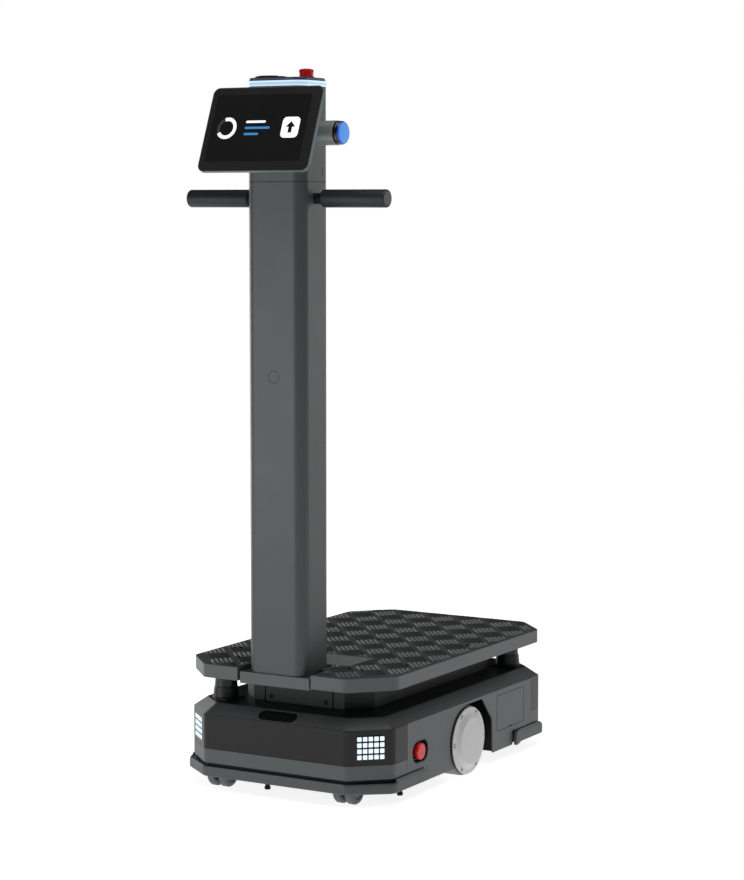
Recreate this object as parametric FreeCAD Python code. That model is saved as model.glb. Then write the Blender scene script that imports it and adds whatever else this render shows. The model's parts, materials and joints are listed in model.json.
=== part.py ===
"""Load-carrying mobile robot: a low base on two drive wheels and four twin-wheel casters, a load
platform on four posts inside a tub, two corner scanners, and a column with handles, a tilted tablet,
a start button and an emergency stop.

Millimetres, +Z up.  The robot is laid out about the middle of its base: the front, where the
camera and the tablet are, faces -Y, and the robot's own left side faces +X.  When all pieces are
made, the whole robot is moved along Y so that the origin lies under the middle of its box.
"""
import FreeCAD, Part
import math
import os

Vec = FreeCAD.Vector
X_AXIS, Y_AXIS, Z_AXIS = Vec(1, 0, 0), Vec(0, 1, 0), Vec(0, 0, 1)

# ---- Body shells -----------------------------------------------------------------------------
body_half_x = 243.0         # middle plane to the flat of a side panel
body_half_y = 394.0
body_cut_x = 72.0           # cut corners of the plan
body_cut_y = 66.0
body_edge_r = 22.0          # rounding of the upright edges
top_edge_r = 12.0           # the same edges where the bevel meets the deck
bevel_in = 28.0             # how far the bevel draws in
bevel_z = 157.5             # foot of the bevel
deck_z = 177.0              # top of the deck
shell_t = 3.0
seam = 0.6                  # open joint between neighbouring covers
fit_gap = 0.3               # still gap between pieces that sit in each other
run_gap = 0.05              # radial clearance of what turns or slides
front_seam_y = -273.0
rear_seam_y = 287.0
end_shell_low_z = 55.5      # lower edge of the front and rear shells
skirt_low_z = 25.0          # lower edge of the side panels

# ---- Light bands, corner light matrices, camera ----------------------------------------------
band_low_z = 85.0
rear_band_top_z = 154.0
band_t = 3.0
backing_t = 2.5             # wall that carries a band
cell = 9.0                  # lit square
cell_pitch_u = 12.3
cell_pitch_z = 12.6
cell_columns = 5
cell_rows = 4
matrix_from_edge = 50.0     # middle of a matrix, along the cut corner from its front edge
matrix_z = 118.0
guide_margin = 3.0
guide_t = 1.5
window_len = 90.0
window_wide = 27.0
window_t = 2.6
window_sunk = 0.4
camera_len = 84.0
camera_wide = 21.0
camera_deep = 20.0
lens_r = 7.0
lens_spacing = 56.0

# ---- Drive wheels ----------------------------------------------------------------------------
wheel_y = -15.0
tyre_r = 75.0
tyre_w = 42.0
tyre_out_x = body_half_x - 3.0
tyre_in_x = tyre_out_x - tyre_w
tyre_shoulder_r = 6.0
hub_r = 66.0
hub_inset = 2.0             # hub's inner face, in from the tyre's
axle_r = 7.0
axle_len = 36.0
cover_r = 72.5
cover_t = 2.0
cover_flat_r = 49.0
cover_cone_r = 57.0
cover_rise = 14.5
arch_gap = 2.0
arch_top_y = 53.0           # rear end of the arch's level top
arch_low_z = 102.0          # foot of the arch's sloping side
arch_low_y = 98.0
arch_foot_y = 104.0
axle_bracket_t = 6.0
axle_bracket_l = 84.0
axle_bracket_low = 24.0     # bracket below and above the axle
axle_bracket_high = 46.0

# ---- Side emergency stops --------------------------------------------------------------------
side_stop_y = -219.0
side_stop_z = 91.0
cup_l = 65.0
cup_h = 46.0
cup_r = 21.0
cup_deep = 17.0
cup_t = 2.0
side_head_r = 17.5
side_head_t = 11.5
side_head_out = 4.0         # face of the head, out from the panel
stop_stem_r = 5.0
stop_boss_r = 12.0
side_stop_travel = 4.0
stop_spare = 1.0            # room left behind a head that is pressed in

# ---- Service hatch, in the left side panel ---------------------------------------------------
hatch_y0 = 124.0
hatch_y1 = 248.0
hatch_z0 = 68.0
hatch_z1 = 146.0
hatch_r = 7.0
hatch_t = 2.5
hatch_gap = 0.5
hatch_pin_r = 0.9
hatch_pin_len = 2.5
hatch_pin_down = 5.0        # hinge line below the top edge
notch_l = 14.0
notch_h = 2.5
pocket_deep = 34.0
pocket_t = 2.0
socket_r = 17.0
socket_pin_r = 2.5

# ---- Bumpers ---------------------------------------------------------------------------------
bumper_half_x = body_half_x + 7.0
bumper_half_y = body_half_y + 3.0
bumper_cut_x = body_cut_x + 7.0
bumper_cut_y = body_cut_y - 6.0
bumper_edge_r = 26.0
bumper_t = 5.0
bumper_low_z = 27.0
bumper_top_z = 48.0
bumper_lip = 3.0            # height of the bumper's sloping upper edge
bumper_chamfer = 2.0        # chamfer of its lower edge
arm_top_z = 54.5            # top of the arms along the sides
arm_slope = 3.5             # how far the arm's sloping top runs in
front_arm_y = -195.0
rear_arm_y = 200.0
arm_end_slope = 14.0
rear_knob_l = 22.0          # rounded boss at the front end of each rear arm
rear_knob_out = 2.0
rear_knob_low_z = 22.0
bumper_travel = 2.5
guide_pin_r = 4.0
guide_pin_x = 78.0
guide_pin_len = 46.0
guide_block = 16.0
guide_block_l = 18.0

# ---- Chassis ---------------------------------------------------------------------------------
floor_z = 65.0
floor_t = 4.0
rail_w = 24.0
rail_h = 34.0
rail_end = 54.0             # body's end to the end of a rail
upright_w = 38.0
bay_wall_t = 2.0
tyre_side_gap = 1.0         # axle bracket to tyre
bay_wall_x = tyre_in_x - tyre_side_gap - axle_bracket_t - bay_wall_t   # inner wall of a wheel bay
bay_clear = 6.0             # bay wall to tyre, front and rear
apron_in = 5.0              # dark apron behind the bumpers, in from the shells
apron_t = 1.5
apron_low_z = 43.0          # above the guide pins and the casters' wheels
apron_side_y = 190.0        # between these lines the apron reaches down behind the bumper's arms
apron_side_end_y = 300.0
battery_l, battery_w, battery_h = 280.0, 214.0, 84.0
battery_y = 60.0
controller_l, controller_w, controller_h = 150.0, 200.0, 58.0
controller_y = -205.0
rail_x = battery_w / 2 + 9.0 + rail_w / 2
cross_y = [controller_y - controller_l / 2 - 30.0, battery_y - battery_l / 2 - 20.0,
           battery_y + battery_l / 2 + 30.0, body_half_y - 84.0]

# ---- Casters ---------------------------------------------------------------------------------
caster_x = body_half_x - 91.0   # swivel axes
caster_y = body_half_y - 53.0
caster_r = 27.5
caster_trail = 13.0
caster_gap = 7.0            # between the twin wheels
caster_wheel_w = 20.5
caster_edge_r = 4.0
caster_axle_r = 4.0
caster_web_t = 5.0
caster_hood_gap = 2.0
caster_hood_t = 2.0
caster_hood_from = 55.0     # degrees above level at which the hood ends
caster_stem_r = 6.0
caster_plate_w = 58.0
caster_plate_t = 4.0

# ---- Tub, posts, scanners and load platform -----------------------------------------------------------------
tub_half_x = body_half_x - 88.5
tub_half_y = body_half_y - 96.0
tub_cut = 45.0
tub_t = 2.5
tub_gap_z = 6.0             # tub to platform
post_x = rail_x             # the posts stand over the rails, inside the tub
post_y = tub_half_y - 63.0
post_r = 15.0
scanner_x = body_half_x - bevel_in - 42.5
scanner_y = body_half_y - bevel_in - 57.0
scanner_base_w = 64.0
scanner_base_cut = 12.0     # cut corners of the base
scanner_base_edge = 27.0    # axis to the base's edge along the body's cut corner
scanner_base_t = 3.0
scanner_low_r = 27.7
scanner_step_r = 25.0
scanner_top_r = 22.3
scanner_dome_r = 14.0       # flat top of the dome
scanner_step_z = 24.0       # heights above the deck
scanner_shoulder_z = 46.0
scanner_top_z = 54.0
platform_half_x = body_half_x + 2.0
platform_half_y = body_half_y + 1.0
platform_cut_x = body_cut_x + 3.0
platform_cut_y = body_cut_y + 12.0
platform_edge_r = 26.0
platform_low_z = deck_z + 57.5
platform_t = 27.5
platform_top_z = platform_low_z + platform_t
rim_t = 3.5
platform_skin = 4.0
mat_t = 4.5
column_y = -body_half_y + 58.0
column_w = 137.0
column_d = 108.0
foot_half_x = column_w / 2 + 14.5
foot_gap = 5.0              # foot to the notch's sides
notch_half_x = foot_half_x + foot_gap
notch_step_y = column_y + 7.0   # behind this line the notch is only as wide as the column
notch_gap = 2.5                 # column to the sides of the narrow part
notch_y = column_y + column_d / 2 + 3.0
cover_half_x = notch_half_x + 14.5
cover_y0 = notch_y + 11.0
cover_y1 = cover_y0 + 100.0
fixing_x = 120.0            # load fixing holes: two groups of four
fixing_spacing_y = 125.0
fixing_rear_y = 202.5
fixing_front_y = -127.5
fixing_hole_r = 4.25
mat_hole_r = 6.0
rib_w = 20.0
rib_pitch = 190.0
boss_r = post_r + 6.0
pedestal_half_x = foot_half_x - 2.3
pedestal_t = 6.0
pedestal_y1 = -tub_half_y + 70.0
pedestal_screw_x = pedestal_half_x - 14.6
pedestal_screw_z = deck_z + 11.0
pedestal_screw_r = 3.0
screw_head_r = 5.0

# ---- Column ----------------------------------------------------------------------------------
column_r = 25.0
column_t = 3.0
foot_front_y = column_y - column_d / 2 - 3.0
foot_low_z = platform_low_z - 4.0
foot_top_z = platform_top_z - 7.5
foot_tongue_t = 10.0
spigot_h = 2.0
spigot_in = 2.5
head_low_z = 1250.0
head_h = 187.5
head_top_z = head_low_z + head_h
plug_z = head_low_z - 390.0
plug_r = 12.0
cable_hole_r = 10.0
ring_h = 13.5
ring_top_z = head_top_z + ring_h
ring_out = 0.6
ring_t = 4.0
cap_h = 5.0
cap_in = 1.6
cap_edge_r = 2.0
puck_x, puck_y = -28.0, column_y - 16.0
puck_r = 32.0
puck_h = 5.0
puck_rim_h = 3.4
puck_bump_r = 9.0
puck_arc_r = 25.0           # two raised arcs on the puck
puck_arc_w = 5.0
top_stop_x, top_stop_y = 34.0, column_y + 18.0
top_head_r = 15.0
top_head_h = 18.0
top_head_low = 1.0          # underside of the head above the cap
top_stop_travel = 3.0
flutes = 18
flute_r = 1.1
top_collar_r = 17.0
top_collar_h = 2.5

# ---- Handles, start button, tablet -----------------------------------------------------------
handle_z = head_low_z - 33.4
handle_y = column_y - 2.0
bar_r = 11.0
grip_r = 18.0
grip_in_x = column_w / 2 + 24.5
grip_out_x = grip_in_x + 140.0
grip_end_t = 5.0
button_z = head_low_z + 96.0
button_y = column_y - 2.0
housing_r = 24.5
housing_out_x = column_w / 2 + 51.5
collar_r = 23.6
collar_out_x = housing_out_x + 12.5
button_cap_r = 21.8
button_out = 1.8
button_stem_r = 8.0
button_travel = 3.0
tablet_w = 258.0
tablet_h = 180.0
tablet_t = 11.0
tablet_r = 15.0
tablet_back_r = 4.0
tablet_lean = 21.9          # degrees from upright
tablet_y = column_y - 101.1    # middle of the glass
tablet_z = head_low_z + 103.5
glass_t = 1.4
glass_in = 1.6
bracket_w = 84.0
bracket_h = 70.0


# ---- Building blocks -------------------------------------------------------------------------
def on_plan(z):
    """Map a plan point to space at height z."""
    return lambda u, v: Vec(u, v, z)


def on_side(x):
    """Map (y, z) to space in the upright plane across X."""
    return lambda u, v: Vec(x, u, v)


def rounded_wire(points, radius, place):
    """Closed wire through points with every corner rounded; radius is one value or one a corner."""
    count = len(points)
    radii = radius if isinstance(radius, list) else [radius] * count
    tangents, arcs = [], []
    for i, point in enumerate(points):
        corner = Vec(point[0], point[1], 0)
        back = (Vec(*points[i - 1], 0) - corner).normalize()
        ahead = (Vec(*points[(i + 1) % count], 0) - corner).normalize()
        half = back.getAngle(ahead) / 2
        reach = radii[i] / math.tan(half)
        start, end = corner + back * reach, corner + ahead * reach
        middle = corner + (back + ahead).normalize() * (radii[i] / math.sin(half) - radii[i])
        tangents.append((place(start.x, start.y), place(end.x, end.y)))
        arcs.append(place(middle.x, middle.y))
    edges = []
    for i in range(count):
        start, end = tangents[i]
        if radii[i] > 0:
            edges.append(Part.Arc(start, arcs[i], end).toShape())
        following = tangents[(i + 1) % count][0]
        if (following - end).Length > 1e-6:
            edges.append(Part.makeLine(end, following))
    return Part.Wire(edges)


def plate(points, radius, z0, z1):
    """Flat piece with a rounded outline, standing from z0 to z1."""
    return Part.Face(rounded_wire(points, radius, on_plan(z0))).extrude(Vec(0, 0, z1 - z0))


def side_plate(points, radius, x0, x1):
    """Flat piece drawn in (y, z), from x0 to x1."""
    return Part.Face(rounded_wire(points, radius, on_side(x0))).extrude(Vec(x1 - x0, 0, 0))


def box(x0, x1, y0, y1, z0, z1):
    """Box between two corners."""
    return Part.makeBox(x1 - x0, y1 - y0, z1 - z0, Vec(x0, y0, z0))


def rod(radius, start, direction, length):
    """Round bar from start along direction."""
    return Part.makeCylinder(radius, length, start, direction)


def turned(profile, origin, axis):
    """Solid turned about a line: profile is (distance along the axis, radius) pairs."""
    points = [Vec(r, 0, h) for h, r in profile]
    face = Part.Face(Part.makePolygon(points + points[:1]))
    solid = face.revolve(Vec(0, 0, 0), Z_AXIS, 360)
    solid.Placement = FreeCAD.Placement(origin, FreeCAD.Rotation(Z_AXIS, axis))
    return solid


def rectangle(x0, x1, y0, y1):
    """Corners of a rectangle, counter-clockwise."""
    return [(x0, y0), (x1, y0), (x1, y1), (x0, y1)]


def cut_oblong(half_x, half_y, cut_x, cut_y, inset=0.0):
    """Corners of an oblong with cut corners, drawn in by inset on every side."""
    cut_len = math.hypot(cut_x, cut_y)
    kept = 1 - inset * (cut_x + cut_y - cut_len) / (cut_x * cut_y)
    a, b = half_x - inset, half_y - inset
    c, d = a - cut_x * kept, b - cut_y * kept
    return [(a, -d), (a, d), (c, b), (-c, b), (-a, d), (-a, -d), (-c, -b), (c, -b)]


def body_plan(inset=0.0):
    """Plan of the body, drawn in by inset."""
    return cut_oblong(body_half_x, body_half_y, body_cut_x, body_cut_y, inset)


def body_ring(outer_inset, inner_inset, z0, z1):
    """Upright wall that follows the body's plan between two insets."""
    outer = plate(body_plan(outer_inset), body_edge_r - outer_inset, z0, z1)
    return outer.cut(plate(body_plan(inner_inset), body_edge_r - inner_inset, z0, z1))


def body_solid(inset, z0):
    """The body's full form, drawn in by inset: upright from z0, then bevelled to the deck."""
    upright = plate(body_plan(inset), body_edge_r - inset, z0, bevel_z)
    foot = rounded_wire(body_plan(inset), body_edge_r - inset, on_plan(bevel_z))
    top = rounded_wire(body_plan(inset + bevel_in), top_edge_r, on_plan(deck_z))
    return upright.fuse(Part.makeLoft([foot, top], True, True)).removeSplitter()


def mirrored(shape):
    """The same piece on the robot's other side."""
    return shape.mirror(Vec(0, 0, 0), X_AXIS)


def joined(shapes):
    """One solid out of several that meet."""
    return shapes[0].fuse(shapes[1:]).removeSplitter()


def both_sides(shape):
    """A piece and its mirror image, as two solids."""
    return Part.makeCompound([shape, mirrored(shape)])


wheel_z = tyre_r
arch_r = tyre_r + arch_gap
far = 2 * body_half_y       # longer than any piece of the base
bevel_angle = math.degrees(math.atan2(deck_z - bevel_z, bevel_in))
corner_angle = math.degrees(math.atan2(body_cut_y, body_cut_x))


# ---- Base covers -----------------------------------------------------------------------------
def body_wall(z0):
    """Thin wall of the whole body from z0 up, open below and at the deck."""
    return body_solid(0, z0).cut(body_solid(shell_t, z0 - 1))


def on_corner(shape):
    """Carry a piece from the cut corner's own frame (along, in, up) to the left front corner."""
    moved = shape.copy()
    moved.rotate(Vec(0, 0, 0), Z_AXIS, corner_angle)
    moved.translate(Vec(body_half_x - body_cut_x, -body_half_y, 0))
    return moved


def on_bevel(shape):
    """Carry a piece from the bevel's own frame (across, up the slope, out) to the front bevel."""
    moved = shape.copy()
    moved.rotate(Vec(0, 0, 0), X_AXIS, bevel_angle)
    moved.translate(Vec(0, -body_half_y + bevel_in / 2, (bevel_z + deck_z) / 2))
    return moved


def matrix_cells(size, y0, y1):
    """The lit squares of one matrix as square bars from y0 to y1, in the corner's own frame."""
    bars = []
    for column in range(cell_columns):
        u = matrix_from_edge + (column - (cell_columns - 1) / 2) * cell_pitch_u
        for row in range(cell_rows):
            z = matrix_z + (row - (cell_rows - 1) / 2) * cell_pitch_z
            bars.append(box(u - size / 2, u + size / 2, y0, y1, z - size / 2, z + size / 2))
    return bars


def matrix_panel(margin, y0, y1):
    """Plain panel behind one matrix, in the corner's own frame."""
    half_u = ((cell_columns - 1) * cell_pitch_u + cell) / 2 + margin
    half_z = ((cell_rows - 1) * cell_pitch_z + cell) / 2 + margin
    return box(matrix_from_edge - half_u, matrix_from_edge + half_u, y0, y1,
               matrix_z - half_z, matrix_z + half_z)


def stadium(length, width, z0, z1):
    """Round-ended bar lying in the XY plane."""
    return plate(rectangle(-length / 2, length / 2, -width / 2, width / 2),
                 width / 2 - 0.01, z0, z1)


def end_shell(band_top):
    """End cover with a lowered wall where the light band lies; made for the front end."""
    wall = body_wall(end_shell_low_z)
    band = body_ring(-1, band_t + fit_gap, band_low_z - fit_gap, band_top)
    rise = (deck_z - bevel_z) / bevel_in
    backing_top = min(band_top + 5, bevel_z + band_t * rise)
    backing = body_ring(band_t + fit_gap, band_t + fit_gap + backing_t,
                        band_low_z - 5, backing_top)
    lower_tie = body_ring(shell_t / 2, band_t + fit_gap + backing_t,
                          band_low_z - 5, band_low_z - fit_gap)
    shell = wall.cut(band).fuse([backing, lower_tie])
    if band_top < bevel_z:
        shell = shell.fuse(body_ring(shell_t / 2, band_t + fit_gap + backing_t, band_top, backing_top))
    return shell.removeSplitter()


def light_band(band_top):
    """Smoked lens that wraps an end, as a full ring."""
    return body_ring(0, band_t, band_low_z, band_top - fit_gap)


def front_pieces():
    """Front shell, light band, light guides, camera window and camera."""
    front = box(-far, far, -far, front_seam_y - seam / 2, 0, far)
    shell = end_shell(bevel_z).common(front)
    band = light_band(bevel_z).common(front)
    holes = [on_corner(bar) for bar in matrix_cells(cell + 2 * fit_gap / 3, -1, band_t + 1)]
    band = band.cut(holes + [mirrored(hole) for hole in holes])
    guide = joined([matrix_panel(guide_margin, band_t, band_t + guide_t)]
                   + matrix_cells(cell, 0, band_t))
    guide = on_corner(guide)
    room = on_corner(matrix_panel(guide_margin + fit_gap, band_t - 1, band_t + guide_t + fit_gap))
    shell = shell.cut([room, mirrored(room)])
    opening = on_bevel(stadium(window_len + 2 * fit_gap, window_wide + 2 * fit_gap, -9, 9))
    shell = shell.cut(opening)
    window = on_bevel(stadium(window_len, window_wide, -window_sunk - window_t, -window_sunk))
    back = -window_sunk - window_t
    camera = plate(rectangle(-camera_len / 2, camera_len / 2, -camera_wide / 2, camera_wide / 2),
                   5, back - camera_deep, back - 2)
    lenses = [rod(lens_r, Vec(side * lens_spacing / 2, 0, back - 3), Z_AXIS, 3) for side in (-1, 1)]
    camera = on_bevel(joined([camera] + lenses))
    return {"front_shell": shell, "front_light_band": band, "light_guides": both_sides(guide),
            "camera_window": window, "depth_camera": camera}


def rear_pieces():
    """Rear shell and its light band."""
    rear = box(-far, far, rear_seam_y + seam / 2, far, 0, far)
    return {"rear_shell": end_shell(rear_band_top_z).common(rear),
            "rear_light_band": light_band(rear_band_top_z).common(rear)}


def arch_cut():
    """Opening over a drive wheel: round in front, level on top, sloped behind."""
    low = skirt_low_z - 5
    front_y = wheel_y - math.sqrt(arch_r ** 2 - (wheel_z - low) ** 2)
    side_y = wheel_y - arch_r * math.cos(math.radians(30))
    side_z = wheel_z + arch_r * math.sin(math.radians(30))
    x0 = bay_wall_x
    place = on_side(x0)
    start, crown = place(front_y, low), place(wheel_y, wheel_z + arch_r)
    path = [Part.Arc(start, place(side_y, side_z), crown).toShape()]
    corners = [crown, place(arch_top_y, wheel_z + arch_r), place(arch_low_y, arch_low_z),
               place(arch_foot_y, low), start]
    path += [Part.makeLine(a, b) for a, b in zip(corners, corners[1:])]
    return Part.Face(Part.Wire(path)).extrude(Vec(far, 0, 0))


def hatch_outline(gap):
    """Corners of the hatch, opened by gap all round."""
    return rectangle(hatch_y0 - gap, hatch_y1 + gap, hatch_z0 - gap, hatch_z1 + gap)


def hatch_pins(radius, length):
    """The hatch's two hinge pins, from inside the door out past its ends."""
    x, z = body_half_x - hatch_t / 2, hatch_z1 - hatch_pin_down
    return [rod(radius, Vec(x, hatch_y0 + 4, z), -Y_AXIS, 4 + length),
            rod(radius, Vec(x, hatch_y1 - 4, z), Y_AXIS, 4 + length)]


def cup_outline(grow):
    """Corners of the side stop's cup, grown by grow."""
    return rectangle(side_stop_y - cup_l / 2 - grow, side_stop_y + cup_l / 2 + grow,
                     side_stop_z - cup_h / 2 - grow, side_stop_z + cup_h / 2 + grow)


def side_panel():
    """Plain side panel with its wheel arch, bumper rebates and the hole for the stop's cup."""
    span = box(body_half_x / 2, far, front_seam_y + seam / 2, rear_seam_y - seam / 2, 0, far)
    panel = body_wall(skirt_low_z).common(span)
    rebates = [box(0, far, -far, front_arm_y + bumper_travel + seam, 0, end_shell_low_z),
               box(0, far, rear_arm_y - bumper_travel - seam, far, 0, end_shell_low_z)]
    cup = side_plate(cup_outline(fit_gap), cup_r, body_half_x - 2 * shell_t, far)
    return panel.cut([arch_cut(), cup] + rebates)


def hatch_pieces(panel):
    """Add the hatch's opening and pocket to a panel, and make the door and the charging socket."""
    inner_x = body_half_x - shell_t
    floor_x = inner_x - pocket_deep
    wall = pocket_t + hatch_gap
    pocket = side_plate(hatch_outline(wall + 1), hatch_r + wall, floor_x, inner_x)
    pocket = pocket.cut(side_plate(hatch_outline(hatch_gap + 1), hatch_r, floor_x + pocket_t, inner_x))
    opening = side_plate(hatch_outline(hatch_gap), hatch_r, floor_x + pocket_t, far)
    socket_y, socket_z = (hatch_y0 + hatch_y1) / 2, (hatch_z0 + hatch_z1) / 2
    bore = rod(socket_r - 3 + fit_gap, Vec(floor_x - 1, socket_y, socket_z), X_AXIS, pocket_t + 2)
    ears = [box(inner_x - 2, inner_x, y - 3, y + 3, hatch_z1 - hatch_pin_down - 4,
                hatch_z1 - hatch_pin_down + 4)
            for y in (hatch_y0 - hatch_gap - 4.5, hatch_y1 + hatch_gap + 4.5)]
    panel = joined([panel, pocket] + ears).cut([opening, bore])
    panel = panel.cut(hatch_pins(hatch_pin_r + run_gap, hatch_gap + hatch_pin_len + 1))
    door = side_plate(hatch_outline(0), hatch_r, body_half_x - hatch_t, body_half_x)
    door = door.cut(box(0, far, socket_y - notch_l / 2, socket_y + notch_l / 2,
                        hatch_z0 - 1, hatch_z0 + notch_h))
    door = joined([door] + hatch_pins(hatch_pin_r, hatch_gap + hatch_pin_len))
    face = floor_x + pocket_t
    profile = [(-14, 0), (-14, socket_r - 3), (0, socket_r - 3), (0, socket_r), (3, socket_r),
               (3, socket_r - 4), (-8, socket_r - 4), (-8, 0)]
    socket = turned(profile, Vec(face, socket_y, socket_z), X_AXIS)
    pins = [rod(socket_pin_r, Vec(face - 9, socket_y + 6 * math.cos(turn), socket_z + 6 * math.sin(turn)),
                X_AXIS, 6) for turn in (math.radians(90 + 120 * i) for i in range(3))]
    return {"side_panel_left": panel, "service_hatch": door,
            "charge_socket": joined([socket] + pins)}


def deck_plate():
    """Black deck that closes the shells from above."""
    deck = plate(body_plan(bevel_in + shell_t + fit_gap), top_edge_r, deck_z - 3, deck_z)
    holes = [rod(post_r + fit_gap, Vec(sx * post_x, sy * post_y, 0), Z_AXIS, far)
             for sx in (-1, 1) for sy in (-1, 1)]
    cable_hole = rod(cable_hole_r, Vec(0, pedestal_y1 - 30, 0), Z_AXIS, far)
    return deck.cut(holes + [cable_hole])


# ---- Stops, buttons --------------------------------------------------------------------------
def side_stop():
    """Cup and mushroom head of the left side stop."""
    face_x = body_half_x - 0.4
    floor_x = face_x - cup_deep
    cup = side_plate(cup_outline(0), cup_r, floor_x, face_x)
    cup = cup.cut(side_plate(cup_outline(-cup_t), cup_r - cup_t, floor_x + cup_t, far))
    centre = Vec(floor_x, side_stop_y, side_stop_z)
    back = body_half_x + side_head_out - side_head_t
    boss = rod(stop_boss_r, centre, X_AXIS, back - side_stop_travel - stop_spare - floor_x)
    cup = cup.fuse(boss).cut(rod(stop_stem_r + run_gap, centre - X_AXIS, X_AXIS, far))
    profile = [(0, 0), (0, side_head_r - 4), (1.5, side_head_r - 1.5), (5, side_head_r),
               (side_head_t - 3.5, side_head_r), (side_head_t - 1.2, side_head_r - 1),
               (side_head_t, side_head_r - 3.5), (side_head_t, 0)]
    head = turned(profile, Vec(back, side_stop_y, side_stop_z), X_AXIS)
    stem = rod(stop_stem_r, Vec(floor_x - 6, side_stop_y, side_stop_z), X_AXIS, back - floor_x + 7)
    return cup, joined([head, stem])


def top_stop():
    """Collar and fluted head of the emergency stop on the column's top."""
    base = Vec(top_stop_x, top_stop_y, ring_top_z + cap_h)
    collar = turned([(0, top_head_r + fit_gap), (0, top_collar_r), (top_collar_h - 0.6, top_collar_r),
                     (top_collar_h, top_collar_r - 0.6), (top_collar_h, top_head_r + fit_gap)],
                    base, Z_AXIS)
    low = top_head_low
    top = low + top_head_h
    head = turned([(low, 0), (low, top_head_r - 0.6), (top - 7, top_head_r - 0.6), (top - 6, top_head_r),
                   (top - 3, top_head_r), (top - 1.4, top_head_r - 2.2), (top - 0.5, top_head_r - 5.5),
                   (top, top_head_r - 10), (top, 0)], base, Z_AXIS)
    grooves = []
    for i in range(flutes):
        turn = 2 * math.pi * i / flutes
        offset = Vec(top_head_r * math.cos(turn), top_head_r * math.sin(turn), top - 8)
        grooves.append(rod(flute_r, base + offset, Z_AXIS, 6.5))
    stem = rod(stop_stem_r, base + Vec(0, 0, -cap_h - 8), Z_AXIS, low + cap_h + 9)
    return collar, joined([head.cut(grooves), stem])


def start_button():
    """Housing, collar and cap of the start button on the column's left side."""
    wall_x = column_w / 2 - column_t

    def at(x):
        return Vec(x, button_y, button_z)
    housing = turned([(0, 6), (0, housing_r), (housing_out_x - wall_x, housing_r),
                      (housing_out_x - wall_x, 14), (6, 14), (6, 6)], at(wall_x), X_AXIS)
    deep = collar_out_x - housing_out_x
    collar = turned([(0, button_stem_r + run_gap), (0, collar_r), (deep - 5, collar_r),
                     (deep - 4, collar_r - 0.8), (deep, collar_r - 0.8), (deep, button_cap_r + fit_gap),
                     (4, button_cap_r + fit_gap), (4, button_stem_r + run_gap)],
                    at(housing_out_x), X_AXIS)
    back = 4 + button_travel + 0.8
    face = deep + button_out
    cap = turned([(back, 0), (back, button_cap_r), (face - 1.2, button_cap_r),
                  (face - 0.3, button_cap_r - 0.5), (face, button_cap_r - 1.6), (face, 0)],
                 at(housing_out_x), X_AXIS)
    stem = rod(button_stem_r, at(housing_out_x - 8), X_AXIS, back + 9)
    return housing, collar, joined([cap, stem])


# ---- Bumpers ---------------------------------------------------------------------------------
def bumper_plan(inset):
    """Plan of the bumpers, drawn in by inset."""
    return cut_oblong(bumper_half_x, bumper_half_y, bumper_cut_x, bumper_cut_y, inset)


def bumper_bar(end_y):
    """Bumper round the front end with its side arms, up to end_y; the upper edge slopes."""
    edge_r = bumper_edge_r
    chamfer_z = bumper_low_z + bumper_chamfer
    base = rounded_wire(bumper_plan(bumper_chamfer), edge_r - bumper_chamfer, on_plan(bumper_low_z))
    base = Part.makeLoft([base, rounded_wire(bumper_plan(0), edge_r, on_plan(chamfer_z))], True, True)
    foot = rounded_wire(bumper_plan(0), edge_r, on_plan(bumper_top_z - bumper_lip))
    brow = rounded_wire(bumper_plan(bumper_lip / 2), edge_r, on_plan(bumper_top_z))
    bar = plate(bumper_plan(0), edge_r, chamfer_z, bumper_top_z - bumper_lip)
    bar = bar.fuse([base, Part.makeLoft([foot, brow], True, True)])
    arm_foot = rounded_wire(bumper_plan(0), edge_r, on_plan(bumper_top_z))
    arm_brow = rounded_wire(bumper_plan(arm_slope), edge_r - arm_slope, on_plan(arm_top_z))
    arms = Part.makeLoft([arm_foot, arm_brow], True, True)
    arms = arms.fuse([base, plate(bumper_plan(0), edge_r, chamfer_z, bumper_top_z)])
    side_y = -(bumper_half_y - bumper_cut_y)
    arms = arms.common(box(-far, far, side_y + bumper_edge_r / 2, end_y, 0, far))
    ring = bar.common(box(-far, far, -far, end_y, 0, far)).fuse(arms)
    hollow = plate(bumper_plan(bumper_t), bumper_edge_r - bumper_t, 0, arm_top_z + 1)
    return ring.cut(hollow)


def end_slope(end_y):
    """Wedge that cuts an arm's upper end down to a slope."""
    corners = [(end_y - arm_end_slope, arm_top_z + 1), (end_y + 1, arm_top_z + 1),
               (end_y + 1, arm_top_z - arm_end_slope)]
    return side_plate(corners, 0, -far, far)


def guide_pins():
    """Pins on the back of the front bumper that slide in the chassis."""
    y = -bumper_half_y + bumper_t - 1
    z = (bumper_low_z + bumper_top_z) / 2
    return [rod(guide_pin_r, Vec(side * guide_pin_x, y, z), Y_AXIS, guide_pin_len) for side in (-1, 1)]


def turned_about(shape):
    """The same piece at the robot's other end."""
    return shape.mirror(Vec(0, 0, 0), Y_AXIS)


def front_bumper():
    """Front bumper with its guide pins."""
    bar = bumper_bar(front_arm_y).cut(end_slope(front_arm_y))
    return joined([bar] + guide_pins())


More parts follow.
